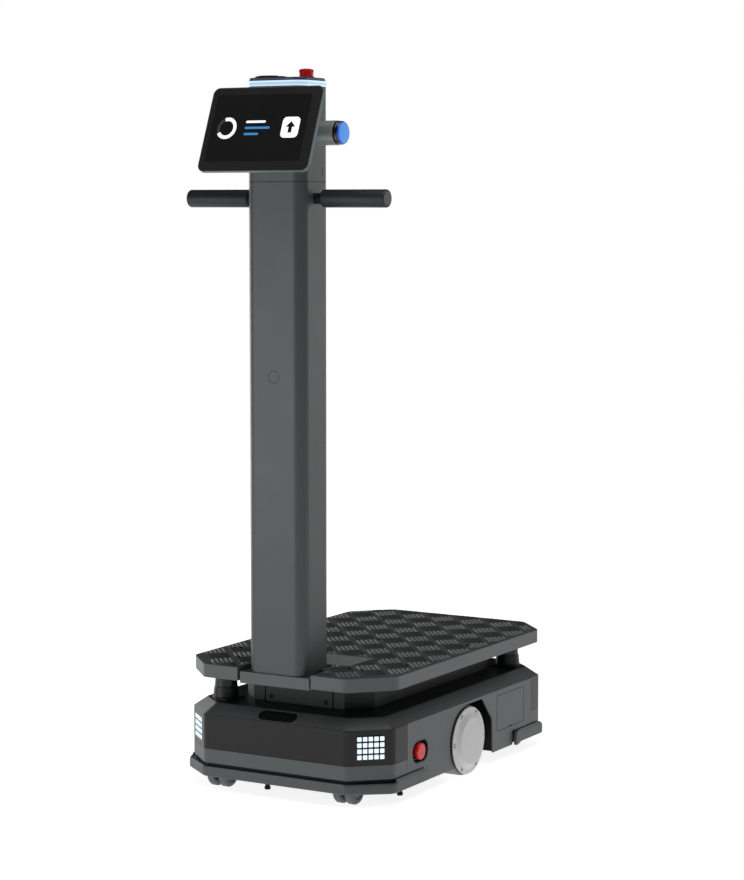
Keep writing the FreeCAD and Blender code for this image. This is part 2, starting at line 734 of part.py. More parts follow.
def rear_bumper():
    """Rear bumper: the same bar, with a rounded boss at the front end of each arm."""
    bar = turned_about(bumper_bar(-rear_arm_y))
    x0, x1 = bumper_half_x - bumper_t, bumper_half_x + rear_knob_out
    corners = [(rear_arm_y, rear_knob_low_z), (rear_arm_y + rear_knob_l, bumper_low_z),
               (rear_arm_y + rear_knob_l, arm_top_z), (rear_arm_y, arm_top_z)]
    knob = side_plate(corners, [4, 2, 5, 10], x0, x1)
    outer = [edge for edge in knob.Edges
             if all(abs(vertex.X - x1) < 0.01 for vertex in edge.Vertexes)]
    knob = knob.makeFillet(1.6, outer)
    clear = box(-far, far, rear_arm_y - 1, rear_arm_y + 10, arm_top_z - 10, far)
    knobs = [knob, mirrored(knob)]
    return joined([bar.cut(clear)] + knobs + [turned_about(pin) for pin in guide_pins()])


# ---- Chassis ---------------------------------------------------------------------------------
def wheel_bay():
    """Walls of the left wheel bay: inner, front, rear and top."""
    front_y = wheel_y - tyre_r - bay_clear
    rear_y = arch_foot_y + seam
    top_z = wheel_z + arch_r + 1
    outer_x = body_half_x - shell_t - fit_gap
    outline = rectangle(front_y - bay_wall_t, rear_y + bay_wall_t, skirt_low_z + 2, top_z + bay_wall_t)
    shell = side_plate(outline, 4, bay_wall_x, outer_x)
    return shell.cut(box(bay_wall_x + bay_wall_t, far, front_y, rear_y, 0, top_z))


def apron():
    """Thin wall under the floor plate's edge that closes the view between the covers and bumpers."""
    ends = body_ring(apron_in, apron_in + apron_t, apron_low_z, floor_z + 1)
    sides = body_ring(apron_in, apron_in + apron_t, skirt_low_z + 2, floor_z + 1)
    middle = box(-far, far, -apron_side_y, apron_side_y, 0, far)
    between = box(-far, far, -apron_side_end_y, apron_side_end_y, 0, far)
    pocket_room = box(0, far, 0, hatch_y1 + pocket_t + 4, floor_z - 2, far)
    wall = ends.fuse(sides.common(between))
    return wall.cut([middle, pocket_room, mirrored(pocket_room)])


def chassis_frame():
    """Welded frame: floor plate with end flanges, rails, uprights, wheel bays and pin guides."""
    clear = shell_t + fit_gap
    top = floor_z + floor_t
    floor = plate(body_plan(clear), body_edge_r - clear, floor_z, top)
    reach = body_half_y - rail_end
    rails = [box(side * rail_x - rail_w / 2, side * rail_x + rail_w / 2, -reach, reach,
                 floor_z + 1, top + rail_h) for side in (-1, 1)]
    cross = [box(-rail_x, rail_x, y - rail_w / 2, y + rail_w / 2, floor_z + 1, top + rail_h)
             for y in cross_y]
    uprights = []
    for side_x in (-1, 1):
        for side_y in (-1, 1):
            x, y = side_x * post_x, side_y * post_y
            half = upright_w / 2
            tube = plate(rectangle(x - half, x + half, y - half, y + half), 4, floor_z + 1, deck_z - 3)
            uprights.append(tube)
    bay = wheel_bay()
    bay_room = box(bay_wall_x + bay_wall_t, far, wheel_y - tyre_r - bay_clear, arch_foot_y + seam, 0, top)
    guides = []
    for side_x in (-1, 1):
        for side_y in (-1, 1):
            y = side_y * (bumper_half_y - bumper_t - 22)
            x = side_x * guide_pin_x
            half = guide_block / 2
            guides.append(box(x - half, x + half, y - guide_block_l / 2, y + guide_block_l / 2,
                              bumper_low_z + 2, floor_z + 1))
    pins = guide_pins()
    bores = [rod(guide_pin_r + run_gap, pin.BoundBox.Center - Vec(0, guide_pin_len, 0), Y_AXIS,
                 2 * guide_pin_len) for pin in pins]
    bores += [turned_about(bore) for bore in bores]
    stems = [rod(caster_stem_r + 2, Vec(sx * caster_x, sy * caster_y, 0), Z_AXIS, floor_z + floor_t + 20)
             for sx in (-1, 1) for sy in (-1, 1)]
    margin = 2.0
    cup_room = box(body_half_x - cup_deep - margin, far, side_stop_y - cup_l / 2 - margin,
                   side_stop_y + cup_l / 2 + margin, 0, top + margin)
    pocket_room = box(body_half_x - shell_t - pocket_deep - margin, far, hatch_y0 - pocket_t - margin - 2,
                      hatch_y1 + pocket_t + margin + 2, 0, top + margin)
    rooms = [bay_room, cup_room, pocket_room]
    body = joined([floor] + rails + cross + uprights + [bay, mirrored(bay)] + guides)
    body = body.cut(rooms + [mirrored(room) for room in rooms] + bores + stems)
    return joined([body, apron()])


def inner_units():
    """Battery pack and controller on the floor plate, and the axle brackets of the drive wheels."""
    top = floor_z + floor_t
    battery = plate(rectangle(-battery_w / 2, battery_w / 2, battery_y - battery_l / 2,
                              battery_y + battery_l / 2), 6, top, top + battery_h)
    controller = plate(rectangle(-controller_w / 2, controller_w / 2, controller_y - controller_l / 2,
                                 controller_y + controller_l / 2), 4, top, top + controller_h)
    inner_x = bay_wall_x + bay_wall_t
    bracket = side_plate(rectangle(wheel_y - axle_bracket_l / 2, wheel_y + axle_bracket_l / 2,
                                   wheel_z - axle_bracket_low, wheel_z + axle_bracket_high),
                         8, inner_x, inner_x + axle_bracket_t)
    axle = rod(axle_r, Vec(inner_x, wheel_y, wheel_z), X_AXIS, axle_bracket_t + axle_len)
    return {"battery_pack": battery, "controller_box": controller,
            "drive_axle_brackets": both_sides(joined([bracket, axle]))}


# ---- Wheels ----------------------------------------------------------------------------------
def drive_wheel():
    """Tyre, hub motor and dished cover of the left drive wheel."""
    centre = Vec(tyre_in_x, wheel_y, wheel_z)
    wide = tyre_out_x - tyre_in_x
    tyre = rod(tyre_r, centre, X_AXIS, wide)
    shoulders = [edge for edge in tyre.Edges if len(edge.Vertexes) == 1]
    tyre = tyre.makeFillet(tyre_shoulder_r, shoulders).cut(rod(hub_r, centre, X_AXIS, wide))
    bore = axle_r + run_gap
    tip = bay_wall_x + bay_wall_t + axle_bracket_t + axle_len - tyre_in_x + 1
    hub = turned([(hub_inset, bore), (hub_inset, hub_r), (wide, hub_r), (wide, cover_cone_r),
                  (wide - 10, cover_cone_r - 5), (wide - 10, 24), (wide - 1, 22), (wide - 1, 0),
                  (tip, 0), (tip, bore)], centre, X_AXIS)
    slope = cover_cone_r - cover_flat_r
    cover = turned([(0, cover_cone_r - 1), (0, cover_r - 0.8), (cover_t - 0.8, cover_r),
                    (cover_t, cover_r - 0.8), (cover_t, cover_cone_r),
                    (cover_t + cover_rise - 1, cover_cone_r - slope + 1),
                    (cover_t + cover_rise, cover_flat_r - 1), (cover_t + cover_rise, 0),
                    (cover_rise, 0), (cover_rise, cover_flat_r - 1.5)],
                   centre + X_AXIS * wide, X_AXIS)
    return {"tyre": tyre, "hub_motor": hub, "wheel_cover": cover}


def caster(x, y):
    """Fork and twin wheels of one caster that swivels about the upright line at (x, y)."""
    hub_y = y - caster_trail
    hood_in = caster_r + caster_hood_gap
    hood_out = hood_in + caster_hood_t
    half = caster_gap / 2 + caster_wheel_w
    centre = Vec(x, hub_y, caster_r)
    ring = rod(hood_out, centre - X_AXIS * half, X_AXIS, 2 * half)
    ring = ring.cut(rod(hood_in, centre - X_AXIS * half, X_AXIS, 2 * half))
    low = math.radians(caster_hood_from)
    cheek = caster_r + hood_out * math.sin(low)
    hood = ring.common(box(-far, far, -far, far, cheek, far))
    web = rod(hood_out - 0.5, centre - X_AXIS * caster_web_t / 2, X_AXIS, caster_web_t)
    lower = box(-far, far, -far, far, -far, caster_r - caster_axle_r - 5)
    stem_low = caster_r + hood_in - 2
    boss = rod(caster_stem_r + 5, Vec(x, y, stem_low), Z_AXIS,
               floor_z - caster_plate_t - fit_gap - stem_low)
    stem = rod(caster_stem_r, Vec(x, y, stem_low), Z_AXIS, floor_z + floor_t - stem_low)
    fork = joined([hood, web.cut(lower), boss, stem])
    fork = fork.cut(rod(hood_in, centre - X_AXIS * half, X_AXIS, half - caster_web_t / 2))
    fork = fork.cut(rod(hood_in, centre + X_AXIS * caster_web_t / 2, X_AXIS, half))
    fork = fork.cut(rod(caster_axle_r + run_gap, centre - X_AXIS * half, X_AXIS, 2 * half))
    wheels = []
    for side in (-1, 1):
        wheel = turned([(0, 0), (0, caster_r - 5), (2, caster_r - 2), (caster_edge_r, caster_r),
                        (caster_wheel_w - 5, caster_r), (caster_wheel_w - 1.5, caster_r - 2.5),
                        (caster_wheel_w, caster_r - 6), (caster_wheel_w, 17), (caster_wheel_w - 2, 15),
                        (caster_wheel_w - 2, 6), (caster_wheel_w - 0.5, 5), (caster_wheel_w - 0.5, 0)],
                       centre + X_AXIS * side * caster_gap / 2, X_AXIS * side)
        wheels.append(wheel)
    axle = rod(caster_axle_r, centre - X_AXIS * (caster_gap / 2 + 1), X_AXIS, caster_gap + 2)
    return fork, joined(wheels + [axle])


def caster_plates():
    """The four fixed plates in which the casters swivel."""
    plates = []
    for sx in (-1, 1):
        for sy in (-1, 1):
            x, y, half = sx * caster_x, sy * caster_y, caster_plate_w / 2
            square = plate(rectangle(x - half, x + half, y - half, y + half), 6,
                           floor_z - caster_plate_t, floor_z)
            plates.append(square.cut(rod(caster_stem_r + run_gap, Vec(x, y, 0), Z_AXIS, far)))
    return Part.makeCompound(plates)


# ---- Posts and platform ----------------------------------------------------------------------
def load_posts():
    """The four posts that carry the platform."""
    return Part.makeCompound([rod(post_r, Vec(sx * post_x, sy * post_y, deck_z - 3), Z_AXIS,
                                  platform_low_z - deck_z + 3)
                              for sx in (-1, 1) for sy in (-1, 1)])


def laser_scanners():
    """Scanner on the left rear corner of the deck, and the same on the right front corner."""
    half = scanner_base_w / 2
    low = half - scanner_base_cut
    across, along = math.sin(math.radians(corner_angle)), math.cos(math.radians(corner_angle))
    side_y = (scanner_base_edge - half * across) / along
    end_x = (scanner_base_edge - half * along) / across
    outline = [(half, -low), (half, side_y), (end_x, half), (-low, half), (-half, low), (-half, -low),
               (-low, -half), (low, -half)]
    base = plate(outline, 2, deck_z, deck_z + scanner_base_t)
    base.translate(Vec(scanner_x, scanner_y, 0))
    body = turned([(0, 0), (0, scanner_low_r), (scanner_step_z, scanner_step_r),
                   (scanner_step_z + 1, scanner_step_r - 1.2), (scanner_shoulder_z, scanner_top_r),
                   (scanner_shoulder_z + 4, scanner_top_r - 1.6),
                   (scanner_shoulder_z + 6.5, scanner_top_r - 4.2), (scanner_top_z, scanner_dome_r),
                   (scanner_top_z, 0)], Vec(scanner_x, scanner_y, deck_z), Z_AXIS)
    rear = joined([base, body])
    return Part.makeCompound([rear, turned_about(mirrored(rear))])


def platform_plan(inset):
    """Plan of the load platform, drawn in by inset."""
    return cut_oblong(platform_half_x, platform_half_y, platform_cut_x, platform_cut_y, inset)


def fixing_points():
    """Centres of the load fixing holes."""
    return [(sx * fixing_x, y + sy * fixing_spacing_y / 2)
            for y in (fixing_front_y, fixing_rear_y) for sx in (-1, 1) for sy in (-1, 1)]


def holes_at(points, radius):
    """Upright bores through the platform."""
    return [rod(radius, Vec(x, y, platform_low_z - 1), Z_AXIS, far) for x, y in points]


def notch(grow):
    """Room for the foot in front and for the column behind it, grown by grow."""
    wide = notch_half_x + grow
    narrow = column_w / 2 + notch_gap + grow
    return [box(-wide, wide, -far, notch_step_y + grow, 0, far),
            box(-narrow, narrow, -far, notch_y + grow, 0, far)]


def platform_pieces():
    """Platform tray with ribs and bosses, its rubber mat, and the cover behind the column."""
    top = platform_top_z - mat_t + 0.5
    tray = plate(platform_plan(0), platform_edge_r, platform_low_z, platform_top_z)
    tray = tray.cut(plate(platform_plan(rim_t), platform_edge_r - rim_t, top, far))
    under = plate(platform_plan(rim_t), platform_edge_r - rim_t, 0, top - platform_skin)
    ribs = [box(x - rib_w / 2, x + rib_w / 2, -far, far, platform_low_z, far)
            for x in (-fixing_x, fixing_x)]
    ribs += [box(-far, far, y - rib_w / 2, y + rib_w / 2, platform_low_z, far)
             for y in (-rib_pitch, 0.0, rib_pitch)]
    edge = notch_half_x + rim_t
    ribs.append(box(-edge, edge, -far, notch_y + rim_t, platform_low_z, far))
    bosses = [rod(boss_r, Vec(sx * post_x, sy * post_y, platform_low_z), Z_AXIS, far)
              for sx in (-1, 1) for sy in (-1, 1)]
    under = under.cut(ribs + bosses + holes_at(fixing_points(), fixing_hole_r + 6))
    tray = tray.cut([under] + notch(0) + holes_at(fixing_points(), fixing_hole_r))
    inset = rim_t + fit_gap
    mat = plate(platform_plan(inset), platform_edge_r - inset, top, top + mat_t)
    clear = fit_gap
    cover_room = box(-cover_half_x - clear, cover_half_x + clear, cover_y0 - clear, cover_y1 + clear, 0, far)
    mat = mat.cut(notch(clear) + [cover_room] + holes_at(fixing_points(), mat_hole_r))
    cover = plate(rectangle(-cover_half_x, cover_half_x, cover_y0, cover_y1), 3, top, top + mat_t - 0.5)
    return {"platform_tray": tray, "platform_mat": mat, "foot_cover": cover}


def tub_skirt():
    """Thin skirt under the platform, open in front for the pedestal."""
    def plan(inset):
        return cut_oblong(tub_half_x, tub_half_y, tub_cut, tub_cut, inset)
    top = platform_low_z - tub_gap_z
    skirt = plate(plan(0), 4, deck_z, top).cut(plate(plan(tub_t), 2, deck_z - 1, top + 1))
    opening = pedestal_half_x + tub_t
    return skirt.cut(box(-opening, opening, -far, 0, 0, far))


def pedestal():
    """Welded pedestal under the column's foot, with two screw holes in front."""
    top = foot_low_z - foot_tongue_t
    front_y = -tub_half_y
    block = box(-pedestal_half_x, pedestal_half_x, front_y, pedestal_y1, deck_z, top)
    hollow = box(-pedestal_half_x + pedestal_t, pedestal_half_x - pedestal_t,
                 front_y + pedestal_t, pedestal_y1 - pedestal_t, 0, top - pedestal_t)
    cable_hole = rod(cable_hole_r, Vec(0, pedestal_y1 - 30, 0), Z_AXIS, far)
    screws = [rod(pedestal_screw_r, Vec(side * pedestal_screw_x, front_y - 1, pedestal_screw_z),
                  Y_AXIS, 20) for side in (-1, 1)]
    heads = [rod(screw_head_r, Vec(side * pedestal_screw_x, front_y - 1, pedestal_screw_z),
                 Y_AXIS, 3.5) for side in (-1, 1)]
    return block.cut([hollow, cable_hole] + screws + heads)


# ---- Column ----------------------------------------------------------------------------------
def column_plan(inset):
    """Corners of the column's section, drawn in by inset."""
    half_w, half_d = column_w / 2 - inset, column_d / 2 - inset
    return rectangle(-half_w, half_w, column_y - half_d, column_y + half_d)


def tube(outer, inner, z0, z1):
    """Length of the column's section between two insets."""
    wall = plate(column_plan(outer), column_r - outer, z0, z1)
    return wall.cut(plate(column_plan(inner), column_r - inner, z0 - 1, z1 + 1))


def column_foot():
    """Foot that carries the column: a stepped plate in the platform's notch and a tongue behind."""
    tongue_low = foot_low_z - foot_tongue_t
    narrow = column_w / 2
    wide_plate = box(-foot_half_x, foot_half_x, foot_front_y, notch_step_y - 2, foot_low_z, foot_top_z)
    rear_plate = box(-narrow, narrow, column_y, notch_y - 2, foot_low_z, foot_top_z)
    tongue = box(-pedestal_half_x, pedestal_half_x, -tub_half_y, pedestal_y1, tongue_low, foot_low_z)
    spigot = plate(column_plan(spigot_in), column_r - spigot_in, foot_top_z - 1, foot_top_z + spigot_h)
    cable_hole = rod(cable_hole_r, Vec(0, pedestal_y1 - 30, 0), Z_AXIS, far)
    well = plate(column_plan(column_t + 12), column_r - 15, foot_low_z + 6, far)
    return joined([wide_plate, rear_plate, tongue, spigot]).cut([well, cable_hole])


def column_pieces():
    """Column, blind plug, head casing, light ring, top cap and the puck on it."""
    low = foot_top_z + spigot_h
    front_y = column_y - column_d / 2
    bar_hole = rod(bar_r + run_gap, Vec(-far, handle_y, handle_z), X_AXIS, 2 * far)
    plug_hole = rod(plug_r + fit_gap, Vec(0, front_y - 1, plug_z), Y_AXIS, column_t + 2)
    column = tube(0, column_t, low, head_low_z - seam).cut([bar_hole, plug_hole])
    plug = rod(plug_r, Vec(0, front_y, plug_z), Y_AXIS, column_t)
    head = tube(0, column_t, head_low_z, head_top_z)
    collar = tube(column_t + fit_gap, 2 * column_t, head_low_z - 20, head_low_z + 20)
    ledge = tube(column_t, 2 * column_t + fit_gap, head_low_z + 4, head_low_z + 16)
    housing_room = rod(housing_r + fit_gap, Vec(0, button_y, button_z), X_AXIS, column_w)
    lid = tube(column_t, 3 * column_t, head_top_z - 3, head_top_z)
    head = joined([head, collar, ledge, lid]).cut(housing_room)
    ring = tube(-ring_out, ring_t, head_top_z, ring_top_z)
    cap = plate(column_plan(cap_in), column_r - cap_in, ring_top_z, ring_top_z + cap_h)
    upper = [edge for edge in cap.Edges
             if all(abs(vertex.Z - ring_top_z - cap_h) < 0.01 for vertex in edge.Vertexes)]
    cap = cap.makeFillet(cap_edge_r, upper)
    stop_hole = rod(top_head_r + fit_gap, Vec(top_stop_x, top_stop_y, 0), Z_AXIS, far * 2)
    seat = rod(top_head_r + 4, Vec(top_stop_x, top_stop_y, ring_top_z - 8), Z_AXIS, 8.5)
    bore = rod(stop_stem_r + run_gap, Vec(top_stop_x, top_stop_y, 0), Z_AXIS, far * 2)
    well_z = ring_top_z + cap_h + top_head_low - top_stop_travel - stop_spare
    well = stop_hole.common(box(-far, far, -far, far, well_z, far * 2))
    cap = cap.fuse(seat).removeSplitter().cut([well, bore])
    top = ring_top_z + cap_h
    seat = Vec(puck_x, puck_y, top)
    disc = turned([(0, 0), (0, puck_r), (puck_rim_h - 0.8, puck_r), (puck_rim_h, puck_r - 0.8),
                   (puck_rim_h, puck_bump_r), (puck_h - 0.6, puck_bump_r - 1), (puck_h, puck_bump_r - 2.5),
                   (puck_h, 0)], seat, Z_AXIS)
    arcs = rod(puck_arc_r, seat, Z_AXIS, puck_h - 0.4).cut(rod(puck_arc_r - puck_arc_w, seat, Z_AXIS, puck_h))
    arcs = arcs.cut(box(-far, far, puck_y - puck_bump_r, puck_y + puck_bump_r, 0, far * 2))
    puck = joined([disc, arcs])
    return {"column": column, "blind_plug": plug, "head_casing": head, "light_ring": ring,
            "top_cap": cap, "sensor_puck": puck}


def handles():
    """Handle bar through the column, and its two grips."""
    reach = grip_out_x - grip_end_t
    bar = rod(bar_r, Vec(-reach, handle_y, handle_z), X_AXIS, 2 * reach)
    length = grip_out_x - grip_in_x
    grip = turned([(0, bar_r + run_gap), (0, grip_r - 2), (1.2, grip_r - 0.4), (2.5, grip_r),
                   (length - 3, grip_r), (length - 1, grip_r - 0.8), (length, grip_r - 2.6),
                   (length, 0), (length - grip_end_t, 0), (length - grip_end_t, bar_r + run_gap)],
                  Vec(grip_in_x, handle_y, handle_z), X_AXIS)
    return {"handle_bar": bar, "handle_grips": both_sides(grip)}


def on_tablet(shape):
    """Carry a piece from the tablet's own frame (across, up, out of the glass) to its place."""
    moved = shape.copy()
    moved.rotate(Vec(0, 0, 0), X_AXIS, 90 - tablet_lean)
    moved.translate(Vec(0, tablet_y, tablet_z))
    return moved


def tablet_pieces():
    """Tablet's back shell, its glass and the wedge that holds it to the head casing."""
    outline = rectangle(-tablet_w / 2, tablet_w / 2, -tablet_h / 2, tablet_h / 2)
    back = plate(outline, tablet_r, -tablet_t, 0)
    rear = [edge for edge in back.Edges
            if all(abs(vertex.Z + tablet_t) < 0.01 for vertex in edge.Vertexes)]
    back = back.makeFillet(tablet_back_r, rear)
    half_w, half_h = tablet_w / 2 - glass_in, tablet_h / 2 - glass_in
    glass_plan = rectangle(-half_w, half_w, -half_h, half_h)
    glass = plate(glass_plan, tablet_r - glass_in, -glass_t, 0)
    back = back.cut(plate(glass_plan, tablet_r - glass_in, -glass_t, 1))
    front_y = column_y - column_d / 2
    lean = math.radians(tablet_lean)
    middle_y = tablet_y + tablet_t * math.cos(lean)
    middle_z = tablet_z - tablet_t * math.sin(lean)
    half = bracket_h / 2
    corners = [(front_y, middle_z - half), (front_y, middle_z + half),
               (middle_y + half * math.sin(lean), middle_z + half * math.cos(lean)),
               (middle_y - half * math.sin(lean), middle_z - half * math.cos(lean))]
    wedge = side_plate(corners, 0, -bracket_w / 2, bracket_w / 2)
    return {"tablet_back": on_tablet(back), "tablet_glass": on_tablet(glass), "tablet_bracket": wedge}


# ---- The whole robot -------------------------------------------------------------------------
def build():
    """All pieces by name."""
    parts = {}
    parts.update(front_pieces())
    parts.update(rear_pieces())
    panel = side_panel()
    parts["side_panel_right"] = mirrored(panel)
    parts.update(hatch_pieces(panel))
    parts["deck_plate"] = deck_plate()
    parts["chassis_frame"] = chassis_frame()
    parts.update(inner_units())
    parts["front_bumper"] = front_bumper()
    parts["rear_bumper"] = rear_bumper()
    cup, head = side_stop()
    parts["side_stop_cups"] = both_sides(cup)
    parts["side_stop_left"] = head
    parts["side_stop_right"] = mirrored(head)
    for name, piece in drive_wheel().items():
        parts[name + "_left"] = piece
        parts[name + "_right"] = mirrored(piece)
    for end, sy in (("front", -1), ("rear", 1)):
        for side, sx in (("left", 1), ("right", -1)):
            fork, wheels = caster(sx * caster_x, sy * caster_y)
            parts["caster_fork_%s_%s" % (end, side)] = fork
            parts["caster_wheels_%s_%s" % (end, side)] = wheels
    parts["caster_plates"] = caster_plates()
    parts["load_posts"] = load_posts()
    parts["laser_scanners"] = laser_scanners()
    parts.update(platform_pieces())
    parts["tub_skirt"] = tub_skirt()
    parts["pedestal"] = pedestal()
    parts["column_foot"] = column_foot()
    parts.update(column_pieces())
    parts["top_stop_collar"], parts["top_stop_head"] = top_stop()
    housing, collar, cap = start_button()
    parts["button_housing"], parts["button_collar"], parts["start_button"] = housing, collar, cap
    parts.update(handles())
    parts.update(tablet_pieces())
    return parts


def main():
    """Build the pieces, bring the origin under the middle of their box and write them."""
    parts = build()
    whole = FreeCAD.BoundBox()
    for shape in parts.values():
        whole.add(shape.optimalBoundingBox(False))
    shift = -(whole.YMin + whole.YMax) / 2
    os.makedirs("parts", exist_ok=True)
    for name, shape in parts.items():
        shape.translate(Vec(0, shift, 0))
        shape.exportStep("parts/%s.step" % name)
    print("nodes", len(parts), "shift along Y", round(shift, 3),
          "box", [round(size, 3) for size in (whole.XLength, whole.YLength, whole.ZLength)])


main()
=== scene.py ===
"""Looks of the load-carrying mobile robot: a low base on drive wheels and casters, a load platform on
four posts, two corner scanners, and a column with handles, a tilted tablet, a start button and
emergency stops.

Metres, +Z up.  The front, where the camera window and the tablet are, faces -Y, and the robot's own
left faces +X.  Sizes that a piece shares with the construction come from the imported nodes' boxes.
"""

import json
import logging
import math
from dataclasses import dataclass
from enum import Enum

import bmesh
import bpy
import numpy as np
from numpy.typing import NDArray
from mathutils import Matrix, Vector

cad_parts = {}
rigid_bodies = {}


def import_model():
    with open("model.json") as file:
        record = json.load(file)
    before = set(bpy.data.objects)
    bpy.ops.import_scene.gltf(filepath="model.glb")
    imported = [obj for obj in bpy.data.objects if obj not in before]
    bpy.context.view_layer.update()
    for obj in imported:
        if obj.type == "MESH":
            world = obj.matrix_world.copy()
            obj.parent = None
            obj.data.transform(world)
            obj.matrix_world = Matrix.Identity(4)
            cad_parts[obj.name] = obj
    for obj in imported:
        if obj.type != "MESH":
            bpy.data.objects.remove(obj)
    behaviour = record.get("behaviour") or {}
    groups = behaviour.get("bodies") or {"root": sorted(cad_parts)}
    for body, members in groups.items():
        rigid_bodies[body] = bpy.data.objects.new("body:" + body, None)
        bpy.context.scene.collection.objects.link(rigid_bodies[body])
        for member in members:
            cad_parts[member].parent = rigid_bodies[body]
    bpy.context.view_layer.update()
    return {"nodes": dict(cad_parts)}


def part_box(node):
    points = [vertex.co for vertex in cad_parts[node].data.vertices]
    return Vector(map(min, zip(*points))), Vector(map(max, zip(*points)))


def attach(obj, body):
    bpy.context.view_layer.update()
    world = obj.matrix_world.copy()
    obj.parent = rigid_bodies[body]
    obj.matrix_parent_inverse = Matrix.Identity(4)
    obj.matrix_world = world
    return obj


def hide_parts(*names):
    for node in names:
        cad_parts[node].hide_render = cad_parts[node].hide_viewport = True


for extra in list(bpy.data.objects):
    bpy.data.objects.remove(extra)
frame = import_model()

Array = NDArray[np.float64]
Colour = tuple[float, float, float, float]
log = logging.getLogger("robot")

MM = 0.001
BASE = "robot_base"
SIDES = (("left", 1), ("right", -1))        # the robot's own sides and their signs along X
FULL_TURN = 2 * math.pi
DRAWN_UPRIGHT = (1.0, 1.0, 0.02)            # stretch that turns a noise into upright lines
ACRYLIC_IOR = 1.49
EDGE_WIDTH = 0.7                            # millimetres that are broken off a sharp edge
EDGE_FACES = 2
EDGE_ANGLE = 28.0                           # edges sharper than this many degrees are broken
ACROSS, AHEAD, UP = np.eye(3)


# ---- Places taken from the frame -----------------------------------------------------------------
def span(node: str) -> tuple[Array, Array]:
    """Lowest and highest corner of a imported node.

    Args:
        node: name of the node.

    Returns:
        Two arrays of x, y, z in metres.
    """
    low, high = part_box(node)
    return np.array(low), np.array(high)


def middle(node: str) -> Array:
    """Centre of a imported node's box."""
    low, high = span(node)
    return (low + high) / 2


BASE_Y = float(middle("deck_plate")[1])     # the base's own middle, along Y


# ---- Colour and shader nodes ---------------------------------------------------------------------
def linear(code: str) -> Colour:
    """Turn an sRGB hex colour into linear light.

    Args:
        code: six hex digits.

    Returns:
        Red, green, blue and full opacity for a shader socket.
    """
    srgb = np.array([int(code[i:i + 2], 16) for i in (0, 2, 4)]) / 255
    light = np.where(srgb <= 0.04045, srgb / 12.92, ((srgb + 0.055) / 1.055) ** 2.4)
    return (float(light[0]), float(light[1]), float(light[2]), 1.0)


def add_node(tree: bpy.types.NodeTree, kind: str, inputs: dict | None = None,
             **settings: object) -> bpy.types.Node:
    """Add one shader node with its settings and links.

    Args:
        tree: the material's node tree.
        kind: the node's type, without the leading ShaderNode.
        inputs: socket name or number to a value, or to the output socket that feeds it.
        settings: properties of the node itself.

    Returns:
        The new node.
    """
    made = tree.nodes.new("ShaderNode" + kind)
    for name, value in settings.items():
        setattr(made, name, value)
    for socket, value in (inputs or {}).items():
        if isinstance(value, bpy.types.NodeSocket):
            tree.links.new(value, made.inputs[socket])
        else:
            made.inputs[socket].default_value = value
    return made


class Surface(Enum):
    """How a finish's fine relief is patterned."""
    SMOOTH = "smooth"
    GRAIN = "grain"
    LINES = "lines"


